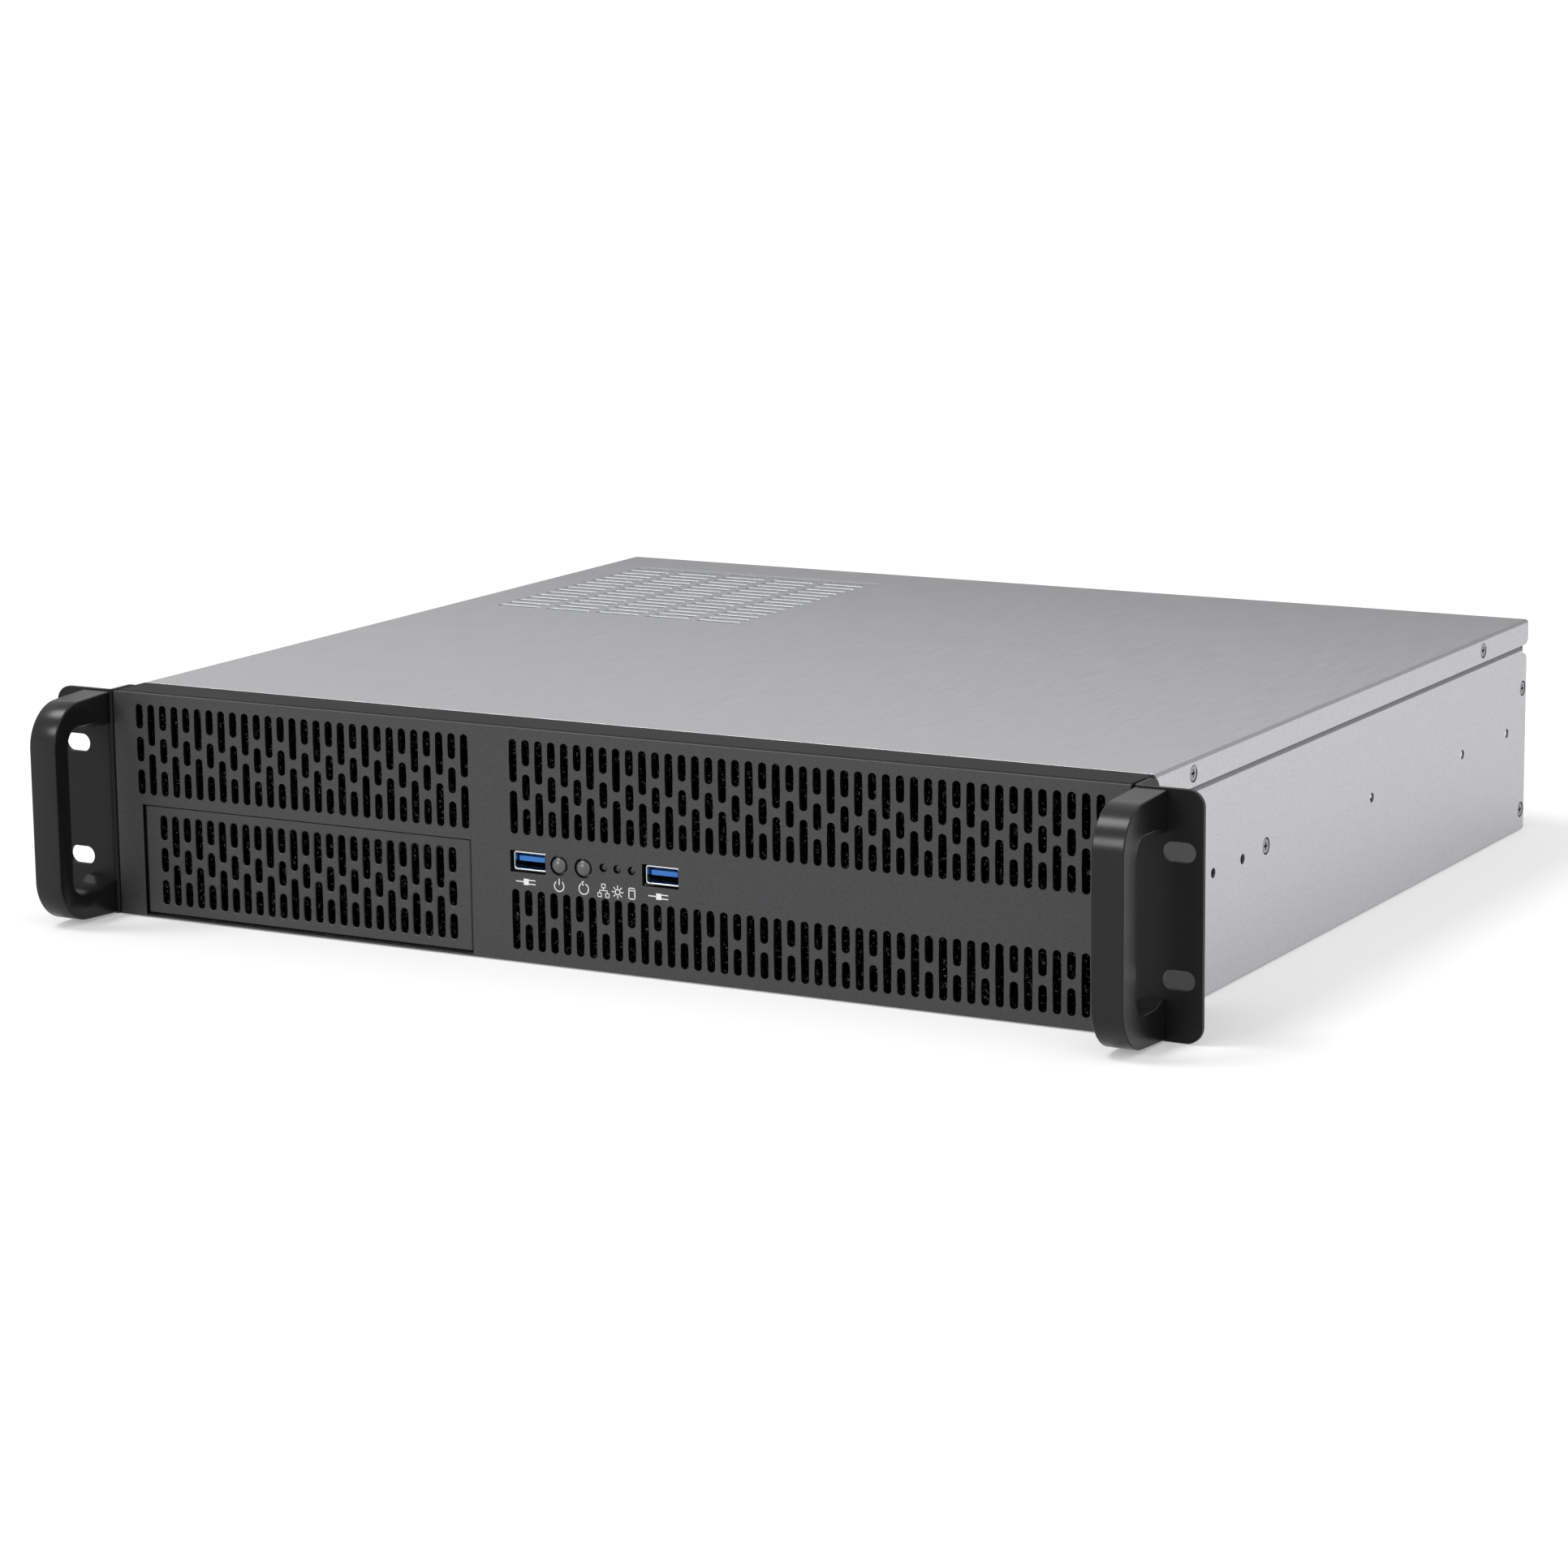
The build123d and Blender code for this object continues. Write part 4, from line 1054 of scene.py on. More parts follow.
@dataclass
class BayCover:
    """Perforated cover of the drive bay, with two tabs that clip inside the cage.

    Attributes:
        x: Low and high X of the plate.
        z: Low and high Z of the plate.
        sheet: Its thickness.
        tab_depth: How far the tabs reach back.
        tab_height: Height of the tabs.
        tab_sheet: Thickness of the tabs.
        span: X of the first and last slot column.
        band: Low and high Z of the slots.
        slot_width: Width of a slot.
        pitch: Spacing of the slot columns.
        web: Metal left between slots above each other.
        edge: Rounding of the plate's edges.
        tab_edge: Rounding of the tabs' edges.
        tab_corner: Rounding of the tabs' rear corners.
    """

    x: Span = (-200.8, -52.8)
    z: Span = (2.2, 44.0)
    sheet: float = 1.5
    tab_depth: float = 12.0
    tab_height: float = 26.0
    tab_sheet: float = 1.0
    span: Span = (-192.8, -60.8)
    band: Span = (5.75, 40.65)
    slot_width: float = 3.4
    pitch: float = 5.5
    web: float = 3.0
    edge: float = 0.35
    tab_edge: float = 0.2
    tab_corner: float = 3.0

    def build(self) -> None:
        """Cuts the slots out of a plate and folds the tabs back from its ends."""
        cover = block("bay_cover_plate", self.x, (0, self.sheet), self.z)
        slots = slot_places(self.span, self.pitch, (3, 2), self.band, self.web)
        cut(cover, slot_cutter(slots, self.slot_width, (-1, self.sheet + 1)))
        edged(cover, self.edge, steps=1)
        fit(cover, BLACK_POWDER)
        # Painted shade on the walls of the slots
        shade_holes(cover, HOLE_SHADE_POWDER, (0, self.sheet))
        middle = sum(self.z) / 2
        height = (middle - self.tab_height / 2, middle + self.tab_height / 2)
        back = (self.sheet, self.sheet + self.tab_depth)
        tabs = []
        for low in (self.x[0], self.x[1] - self.tab_sheet):
            tab = block("bay_cover_tab", (low, low + self.tab_sheet), back, height)
            with picked(tab, "edges", lambda place, way: place.y > back[1] - 0.1 and abs(way.x) > 0.9):
                bevel(self.tab_corner, 4)
            tabs.append(edged(tab, self.tab_edge))
        fit(joined("bay_cover_tabs", tabs), BLACK_POWDER)
        cover.name = "bay_cover_sheet"
        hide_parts("bay_cover")


@dataclass
class Filters:
    """Foam pads behind the grilles.

    Attributes:
        cell: Size of a mesh face in the foam's skin.
        rise: Height of the foam's lumps.
        lump: Width of the lumps.
        corner: Rounding of a pad's edges.
    """

    cell: float = 1.3
    rise: float = 0.3
    lump: float = 1.6
    corner: float = 0.8

    def pad(self, node: str) -> None:
        """Models one pad in its solid's place, its front skin lumpy and its edges soft.

        Args:
            node: Name of the solid that it replaces.
        """
        low, high = (from_front(corner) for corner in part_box(node))
        low.y += self.rise
        pad = block(f"{node}_pad", (low.x, high.x), (low.y, high.y), (low.z, high.z))
        with picked(pad, "edges"):
            bevel(self.corner, 2)
        for axis, start, end in ((0, low.x, high.x), (2, low.z, high.z)):
            cuts = int((end - start) / self.cell)
            normal = [0.0, 0.0, 0.0]
            normal[axis] = 1.0
            for k in range(1, cuts):
                level = start + (end - start) * k / cuts
                place = point(level, 0, 0) if axis == 0 else point(0, 0, level)
                with picked(pad, "faces"):
                    bpy.ops.mesh.bisect(plane_co=place, plane_no=normal)
        lumps = bpy.data.textures.new(f"{node}_lumps", "CLOUDS")
        lumps.noise_scale = self.lump * MM
        modified(
            pad, "DISPLACE", texture=lumps, texture_coords="LOCAL", strength=-self.rise * MM, mid_level=0.0,
            direction="Y",
        )
        select_only(pad)
        bpy.ops.object.shade_smooth()
        fit(pad, FILTER_FOAM, node)

    def build(self) -> None:
        """Models the four pads."""
        for place in ("bay", "left", "right_lower", "right_upper"):
            self.pad(f"foam_filter_{place}")


@dataclass
class FrontKeys:
    """Power and reset keys: domed caps with a rim bar behind the panel and a stem.

    Attributes:
        radius: Radius of a cap.
        proud: How far a cap stands out of the panel.
        rim: Width and height of the rim bar.
        rim_depth: Depth of the rim bar's front and rear face.
        stem: Width of the stem.
        stem_end: Depth where the stem ends.
        z: Z of its axis.
        dome: Height of the domed end.
        rings: Steps of the dome.
        tip: Radius of its flat middle.
        edge: Rounding of the rim bar's and the stem's edges.
    """

    radius: float = 2.9
    proud: float = 1.3
    rim: Span = (5.0, 9.0)
    rim_depth: Span = (1.8, 2.6)
    stem: float = 3.0
    stem_end: float = 8.6
    z: float = 38.1
    dome: float = 1.3
    rings: int = 8
    tip: float = 0.1
    edge: float = 0.2

    def cap(self, x: float) -> Object:
        """Models one key: the cap's front is drawn in ring by ring to a part of a sphere.

        Args:
            x: X of the key's axis.

        Returns:
            The key.
        """
        front, back = self.dome - self.proud, self.rim_depth[1]
        cap = rod("key_cap", x, self.z, (front, back), self.radius, 40)
        sphere = (self.radius**2 + self.dome**2) / (2 * self.dome)
        widths = [self.radius * (1 - k / self.rings) for k in range(self.rings)] + [self.tip]
        heights = [math.sqrt(sphere**2 - width**2) for width in widths]
        pairs = zip(zip(widths, widths[1:]), zip(heights, heights[1:]))
        domed(cap, [(wide - narrow, high - low) for (wide, narrow), (low, high) in pairs])
        rim = about("key_rim", (x, self.z), self.rim, self.rim_depth)
        stem = about("key_stem", (x, self.z), (self.stem, self.stem), (back, self.stem_end))
        return joined("key", [cap, edged(rim, self.edge), edged(stem, self.edge)])

    def build(self, key_x: Span) -> None:
        """Models both keys and dresses their plungers and switches.

        Args:
            key_x: X of the power and the reset key.
        """
        for name, x in zip(("power", "reset"), key_x):
            key = self.cap(x)
            key.name = f"{name}_key_cap"
            fit(key, KEY_GREY, f"{name}_button", body=f"{name}_key")
            dress(f"{name}_plunger", PLUNGER_WHITE)
            dress(f"{name}_switch", SWITCH_BLACK)


@dataclass
class FrontLamps:
    """Clear light guides with domed ends.

    Attributes:
        radius: Radius of a guide.
        depth: Depth of its front and rear end.
        z: Z of its axis.
        dome: Width and height of each step of the domed end.
        crown: Depth that is left for the dome.
    """

    radius: float = 1.45
    depth: Span = (0.6, 14.0)
    z: float = 39.1
    dome: tuple[Span, ...] = ((0.25, 0.22), (0.35, 0.17), (0.4, 0.08))
    crown: float = 0.5

    def build(self, lamp_x: tuple[float, float, float]) -> None:
        """Models the three guides.

        Args:
            lamp_x: X of the network, power and disk lamp.
        """
        depth = (self.depth[0] + self.crown, self.depth[1])
        for name, x in zip(("network", "power", "disk"), lamp_x):
            guide = rod(f"{name}_light_guide", x, self.z, depth, self.radius, 24)
            fit(domed(guide, self.dome), LAMP_CLEAR, f"{name}_lamp")


@dataclass
class Sockets:
    """Two sockets: a drawn steel shell with a flared lip, a blue tongue, its contacts and a dark back.

    Attributes:
        z: Z of the sockets' middle.
        tongue: Width and height of a tongue.
        tongue_z: Z of a tongue's middle.
        tongue_depth: Depth of its front and rear end.
        back: Width and height of the carrier behind it.
        back_depth: Depth of the carrier's front and rear face.
        contact: Width and thickness of a contact.
        contact_depth: Depth of its front and rear end.
        pitch: Spacing of the contacts.
        tube: Width and height of the shell behind its lip.
        lip: Width and height of the lip.
        mouth: Depth of the lip's face.
        flare: How far the lip's flare reaches back.
        wall: Width of the lip's face.
        rim: Thickness of the lip.
        inside: Width and height of the pocket behind the flare.
        base: Thickness of the shell's closed rear.
        corner: Rounding of the shell's corners.
        edges: Rounding of the shell's, the moulded blocks' and the contacts' edges.
    """

    z: float = 38.1
    tube: Span = (13.3, 5.9)
    lip: Span = (14.3, 7.0)
    mouth: float = 1.6
    flare: float = 0.5
    wall: float = 0.55
    rim: float = 0.4
    inside: Span = (12.5, 5.1)
    base: float = 1.0
    corner: float = 0.9
    edges: tuple[float, float, float] = (0.12, 0.25, 0.04)
    tongue: Span = (11.1, 1.9)
    tongue_z: float = 38.7
    tongue_depth: Span = (3.0, 11.9)
    back: Span = (12.3, 4.9)
    back_depth: Span = (10.9, 12.9)
    contact: Span = (0.9, 0.16)
    contact_depth: Span = (3.6, 10.8)
    pitch: float = 2.2

    def carrier(self, name: str, middle: Span, size: Span, depth: Span) -> Object:
        """Models one moulded block of a socket, given as `about` takes it, with softened edges."""
        return edged(about(name, middle, size, depth), self.edges[1])

    def shell(self, name: str, x: float, end: float) -> Object:
        """Models a shell: a tube whose front is flared to a lip and then sunk to a pocket.

        Args:
            name: Name of the object.
            x: X of its middle.
            end: Depth of its rear end.

        Returns:
            The shell.
        """
        front = self.mouth + self.rim + self.flare
        shell = about(name, (x, self.z), self.tube, (front, end))
        with picked(shell, "edges", lambda place, way: abs(way.y) > 0.9):
            bevel(self.corner, 4)
        grown = [lip / tube for lip, tube in zip(self.lip, self.tube)]
        drawn = [inside / (lip - 2 * self.wall) for inside, lip in zip(self.inside, self.lip)]
        with picked(shell, "faces", looks_ahead):
            extrude(-self.flare)
            resize(point(x, 0, self.z), x=grown[0], z=grown[1])
            extrude(-self.rim)
            bpy.ops.mesh.inset(thickness=self.wall * MM)
            extrude(2 * self.flare)
            resize(point(x, 0, self.z), x=drawn[0], z=drawn[1])
            extrude(end - self.mouth - 2 * self.flare - self.base)
        return edged(shell, self.edges[0])

    def build(self, socket_x: Span) -> None:
        """Models the shells and what they hold.

        Args:
            socket_x: X of the left and the right socket.
        """
        for side, x in zip(("left", "right"), socket_x):
            end = from_front(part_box(f"usb_shell_{side}")[1]).y
            fit(self.shell(f"socket_shell_{side}", x, end), TIN_PLATE, f"usb_shell_{side}")
            tongue = self.carrier(f"socket_tongue_{side}", (x, self.tongue_z), self.tongue, self.tongue_depth)
            fit(tongue, SOCKET_BLUE, f"usb_tongue_{side}")
            fit(self.carrier(f"socket_back_{side}", (x, self.z), self.back, self.back_depth), SOCKET_DARK)
            under = self.tongue_z - self.tongue[1] / 2
            contacts = []
            for k in range(4):
                middle = (x + (k - 1.5) * self.pitch, under)
                contact = about("contact", middle, self.contact, self.contact_depth)
                contacts.append(edged(contact, self.edges[2], steps=1))
            fit(joined(f"socket_contacts_{side}", contacts), TURNED_BRASS)


@dataclass
class FrontFrame:
    """Black inner front wall with its flanges.

    Attributes:
        edge: Rounding of the sheet's edges.
    """

    edge: float = 0.2

    def build(self) -> None:
        """Softens the solid's edges."""
        softened("front_frame", "front_frame_sheet", FRAME_POWDER, self.edge)


# Ears and handles


@dataclass
class Ears:
    """Black steel ears with rack slots.

    Attributes:
        edge: Rounding of the sheet's edges.
    """

    edge: float = 0.35

    def build(self) -> None:
        """Softens both ears."""
        for side in ("left", "right"):
            softened(f"rack_ear_{side}", f"ear_{side}", EAR_POWDER, self.edge, 2)


@dataclass
class Handles:
    """Moulded handles on the ears, each an arch with a drafted finger opening.

    Attributes:
        x: X of the right handle's inner and outer side.
        z: Its lowest and highest Z at the ear.
        reach: How far it stands out in front.
        slope: How much its front is lower than its roots, at the top and at the bottom.
        bend: Radius of its two front bends.
        grip: Thickness of the bar in front of the fingers, on the inner side.
        leg: Height of a leg on the inner side.
        root: What a leg's root is higher, how deep the root is and where its ramp ends.
        draft: Slope of the opening's sides in degrees.
        corner: Radius of the opening's front corners.
        edge: Rounding of the rims.
    """

    x: Span = (216.0, 228.0)
    z: Span = (0.5, 87.5)
    reach: float = 35.0
    slope: float = 1.8
    bend: float = 16.0
    grip: float = 8.3
    leg: float = 10.6
    root: tuple[float, float, float] = (2.0, 4.0, 9.0)
    draft: float = 10.0
    corner: float = 7.0
    edge: float = 0.55

    def arch(self) -> Object:
        """Models the outer form: a block drawn in to the front, with two round bends."""
        arch = block("handle_arch", self.x, (-self.reach, 0), self.z)
        middle = sum(self.z) / 2
        tall = self.z[1] - self.z[0]
        with picked(arch, "faces", looks_ahead):
            drawn = 1 - 2 * self.slope / tall
            resize(point(0, 0, middle), z=drawn)
        with picked(arch, "edges", lambda place, way: place.y < -self.reach + 0.1 and abs(way.x) > 0.9):
            bevel(self.bend, 16)
        return arch

    def opening(self) -> Object:
        """Models the cutter of the finger opening, which draws in towards the outer side."""
        low, high = self.z[0] + self.leg, self.z[1] - self.leg
        middle, half = (low + high) / 2, (high - low) / 2
        rise, deep, ramp = self.root
        front = self.grip - self.reach
        cutter = block("opening_cutter", (self.x[0] - 1, self.x[1] + 1), (front, 1), (low, high))
        for depth in (-ramp, -deep):
            with picked(cutter, "faces"):
                bpy.ops.mesh.bisect(plane_co=point(0, depth, 0), plane_no=(0, 1, 0))
        with picked(cutter, "verts", lambda place, normal: place.y > -deep - 0.1):
            resize(point(0, 0, middle), z=1 - rise / half)
        with picked(cutter, "edges", lambda place, way: place.y < front + 0.1 and abs(way.x) > 0.9):
            bevel(self.corner, 8)
        for x in (self.x[0] - 1, self.x[1] + 1):
            drawn = (x - self.x[0]) * math.tan(math.radians(self.draft))
            with picked(cutter, "verts", lambda place, normal: abs(place.x - x) < 0.1):
                resize(point(0, 0, middle), depth=1 + drawn / front, z=1 - drawn / half)
        return cutter

    def build(self) -> None:
        """Models the right handle and mirrors it for the left."""
        right = cut(self.arch(), self.opening())
        right.name = "grip_right"
        edged(right, self.edge, steps=3, angle=40)
        left = mirrored(right, "grip_left")
        for side, grip in (("right", right), ("left", left)):
            fit(grip, HANDLE_BLACK, f"handle_{side}")


# Body


@dataclass
class Screws:
    """Countersunk cross-head screws in the side walls.

    Attributes:
        head: Radius of a head.
        shank: Radius of a shank.
        sink: Depth of the countersink.
        length: Whole length of a screw.
        face: X of the right wall's outer face.
        cover: Depth and Z of the cover's screws.
        walls: Depth and Z of the other screws on both sides.
        right_only: Depth and Z of screws on the right side alone.
        play: What a head's radius is less than its seat's, and how far it lies below the wall's face.
        recess: Width, length and depth of an arm of the cross recess, and how far it narrows.
        dark: Radius of the recess's faces in painted shade, and how deep they lie at most and at least.
        seat: What a seat's radius is more than a head's, and how far its cutter stands out.
        edge: Rounding of a screw's edges.
    """

    head: float = 3.0
    shank: float = 1.5
    sink: float = 1.0
    length: float = 6.0
    face: float = 215.0
    cover: tuple[Span, ...] = ((51.0, 82.9), (337.5, 82.9))
    walls: tuple[Span, ...] = ((384.5, 60.0), (384.5, 9.0))
    right_only: tuple[Span, ...] = ((116.0, 44.7),)
    play: Span = (0.25, 0.15)
    recess: tuple[float, float, float, float] = (1.0, 3.6, 1.1, 0.55)
    dark: tuple[float, float, float] = (2.0, 1.4, 0.3)
    seat: Span = (0.2, 0.5)
    edge: float = 0.08

    def cone(self, name: str, gap: float, reach: float) -> Object:
        """Models a countersunk shape on the right wall at depth 0 and Z 0.

        Args:
            name: Name of the object.
            gap: What its radius is more than a screw's.
            reach: How far the head is carried out of the wall.

        Returns:
            The shape, its axis along X.
        """
        cone = made(
            bpy.ops.mesh.primitive_cone_add,
            name,
            vertices=32,
            radius1=(self.head + gap) * MM,
            radius2=(self.shank + gap) * MM,
            depth=self.sink * MM,
            location=point(self.face - self.sink / 2, 0, 0),
            rotation=(0, -math.pi / 2, 0),
        )
        with picked(cone, "faces", lambda place, normal: normal.x < -0.9):
            extrude(self.sink - self.length, axis=0)
        if reach:
            with picked(cone, "faces", lambda place, normal: normal.x > 0.9):
                extrude(reach, axis=0)
        return cone

    def screw(self) -> Object:
        """Models one screw with a cross recess."""
        screw = self.cone("screw", -self.play[0], 0.0)
        screw.data.transform(Matrix.Translation((-self.play[1] * MM, 0, 0)))
        width, length, deep, narrow = self.recess
        floor = self.face - deep
        for wide, tall in ((length, width), (width, length)):
            out = (floor, self.face + self.seat[1])
            arm = block("recess_cutter", out, (-wide / 2, wide / 2), (-tall / 2, tall / 2))
            with picked(arm, "faces", lambda place, normal: normal.x < -0.9):
                resize(point(floor, 0, 0), depth=narrow, z=narrow)
            cut(screw, arm)
        edged(screw, self.edge, steps=1)
        screw.data.materials.append(PLATED_SCREW.material())
        radius, bottom, top = self.dark

        def in_recess(middle: Vector, normal: Vector) -> bool:
            """Whether a face is part of the cross recess."""
            sunk = self.face - bottom < middle.x < self.face - top
            return sunk and math.hypot(middle.y, middle.z) < radius

        # Painted shade in the cross recess
        shade_faces(screw, RECESS_SHADE, in_recess)
        return screw

    def seats(self, places: tuple[Span, ...], sides: tuple[int, ...]) -> Object:
        """Models the cutters of round countersinks.

        Args:
            places: Depth and Z of each.
            sides: 1 for the right wall, -1 for the left.

        Returns:
            All cutters as one object.
        """
        model = self.cone("seat", *self.seat)
        cutters = []
        for depth, z in places:
            seat = copied(model, "seat_cutter", (0, depth, z))
            cutters += [seat] if 1 in sides else []
            if -1 in sides:
                cutters.append(mirrored(seat, "seat_cutter"))
        bpy.data.objects.remove(model)
        return joined("seat_cutters", cutters)

    def build(self) -> None:
        """Puts a screw in every seat."""
        model = self.screw()
        cover, walls = [], []
        plan = ((cover, self.cover, True), (walls, self.walls, True), (walls, self.right_only, False))
        for group, places, both in plan:
            for depth, z in places:
                screw = copied(model, "screw", (0, depth, z))
                group.append(screw)
                if both:
                    group.append(mirrored(screw, "screw"))
        bpy.data.objects.remove(model)
        fit(joined("cover_screw_set", cover), PLATED_SCREW, "cover_screws", keep=True)
        fit(joined("wall_screw_set", walls), PLATED_SCREW, keep=True)


@dataclass
class Tub:
    """Floor and side walls.

    Attributes:
        edge: Rounding of the sheet's edges.
        groove: Lowest and highest Z of the stepped strip under the cover's edge.
        outside: X beyond which the strip lies, on both sides.
    """

    edge: float = 0.12
    groove: Span = (76.1, 78.5)
    outside: float = 210.0

    def build(self, screws: Screws) -> None:
        """Softens the solid and makes its countersinks round.

        Args:
            screws: The screws that sit in it.
        """
        tub = merged_copy("chassis_base", "tub_sheet")
        both = screws.cover + screws.walls
        cut(tub, screws.seats(both, (1, -1)))
        cut(tub, screws.seats(screws.right_only, (1,)))
        fit(edged(tub, self.edge, steps=1), STEEL, "chassis_base")
        # Painted shade on the countersinks' slopes and bores
        shade_seats(tub, RECESS_SHADE, both + screws.right_only, screws.head + screws.seat[0])
        low, high = self.groove

        def in_groove(middle: Vector, normal: Vector) -> bool:
            """Whether a face leans, runs front to back and lies in the strip under the cover's edge."""
            leans = abs(normal.z) > 0.12 and abs(normal.y) < 0.1
            return leans and low < middle.z < high and abs(middle.x) > self.outside

        # Painted shade in the strip under the cover's edge
        shade_faces(tub, GROOVE_SHADE_STEEL, in_groove)


@dataclass
class TopCover:
    """Top cover with a field of round-ended vents.

    Attributes:
        edge: Rounding of the sheet's edges.
        roll: Width of the rolled edge round a vent's mouth.
        field: X and depth of the field's middle.
        count: Vents across and vents deep.
        pitch: Their spacing across and in depth.
        vent: Length and width of a vent.
        z: Z of the sheet's lower and upper face.
        fold: X and Z beyond which the bends to the side flanges lie.
    """

    edge: float = 0.12
    roll: float = 0.3
    field: Span = (-135.3, 301.0)
    count: tuple[int, int] = (5, 16)
    pitch: Span = (24.5, 7.7)
    vent: Span = (20.6, 3.2)
    z: Span = (87.0, 88.0)
    fold: Span = (212.0, 84.0)

    def vents(self) -> Object:
        """Models the cutters of all vents, with round ends."""
        length, width = self.vent
        model = made(
            bpy.ops.mesh.primitive_cylinder_add,
            "vent_cutter",
            vertices=16,
            radius=width / 2 * MM,
            depth=6 * MM,
            location=point(0, 0, sum(self.z) / 2),
        )
        grown = 1 + 2 * self.roll / width
        for plane in (self.z[1] - self.roll, self.z[1]):
            with picked(model, "faces"):
                bpy.ops.mesh.bisect(plane_co=point(0, 0, plane), plane_no=(0, 0, 1))
        with picked(model, "verts", lambda place, normal: place.z > self.z[1] - 0.01):
            resize(point(0, 0, self.z[1]), x=grown, depth=grown)
        for side in (-1, 1):
            with picked(model, "verts", lambda place, normal: place.x * side > 0.01):
                bpy.ops.transform.translate(value=(side * (length - width) / 2 * MM, 0, 0))
        cutters = []
        for column in range(self.count[0]):
            for row in range(self.count[1]):
                x = self.field[0] + (column - (self.count[0] - 1) / 2) * self.pitch[0]
                depth = self.field[1] + (row - (self.count[1] - 1) / 2) * self.pitch[1]
                cutters.append(copied(model, "vent_cutter", (x, depth, 0)))
        bpy.data.objects.remove(model)
        return joined("vent_cutters", cutters)

    def build(self, screws: Screws) -> None:
        """Closes the solid's square vents, cuts round-ended ones and rounds the countersinks.

        Args:
            screws: The screws that sit in it.
        """
        cover = merged_copy("top_cover", "top_cover_sheet")
        x, depth = self.field
        wide, deep = (count * pitch / 2 for count, pitch in zip(self.count, self.pitch))
        patch = block("vent_patch", (x - wide, x + wide), (depth - deep, depth + deep), self.z)
        modified(cover, "BOOLEAN", operation="UNION", solver="EXACT", object=patch)
        bpy.data.objects.remove(patch)
        with picked(cover, "verts"):
            bpy.ops.mesh.dissolve_limited(angle_limit=math.radians(0.5))
        edged(cover, self.edge, steps=1)
        cut(cover, self.vents())
        cut(cover, screws.seats(screws.cover, (1, -1)))
        fit(edged(cover, 0), STEEL, "top_cover")
        # Painted shade on the countersinks' slopes and bores
        shade_seats(cover, RECESS_SHADE, screws.cover, screws.head + screws.seat[0])

        def in_vent(middle: Vector, normal: Vector) -> bool:
            """Whether a face is part of a vent's wall or rolled edge."""
            return abs(middle.x - x) < wide and abs(middle.y - depth) < deep and abs(normal.z) < 0.9

        def on_bend(middle: Vector, normal: Vector) -> bool:
            """Whether a face is part of the bend to a side flange."""
            outside = abs(middle.x) > self.fold[0] and middle.z > self.fold[1]
            return outside and 0.3 < abs(normal.x) < 0.94

        shade_faces(cover, CUT_EDGE, in_vent)
        # Painted shade along the bends to the side flanges
        shade_faces(cover, BEND_SHADE_STEEL, on_bend)


@dataclass
class RearWall:
    """Rear wall with its card slots and their blanks.

    Attributes:
        edge: Rounding of the sheet's edges.
        blank_edge: Rounding of the blanks' edges.
    """

    edge: float = 0.12
    blank_edge: float = 0.15

    def build(self) -> None:
        """Softens the wall and the four blanks."""
        softened("rear_panel", "rear_wall_sheet", STEEL, self.edge)
        for number in range(1, 5):
            softened(f"slot_blank_{number}", f"blank_{number}", BLANK_STEEL, self.blank_edge)


@dataclass
class Inside:
    """Drive cage, fan wall, power supply rest, stand-offs and the front board.

    Attributes:
        edge: Rounding of the sheet's edges.
    """

    edge: float = 0.12

    def build(self) -> None:
        """Softens the sheet pieces and dresses the rest."""
        for node in ("drive_cage", "fan_bracket", "supply_rest"):
            softened(node, f"{node}_sheet", STEEL, self.edge)
        dress("board_standoffs", TURNED_BRASS)
        dress("io_board_posts", TURNED_BRASS)
        dress("front_io_board", BOARD_GREEN)


# Studio


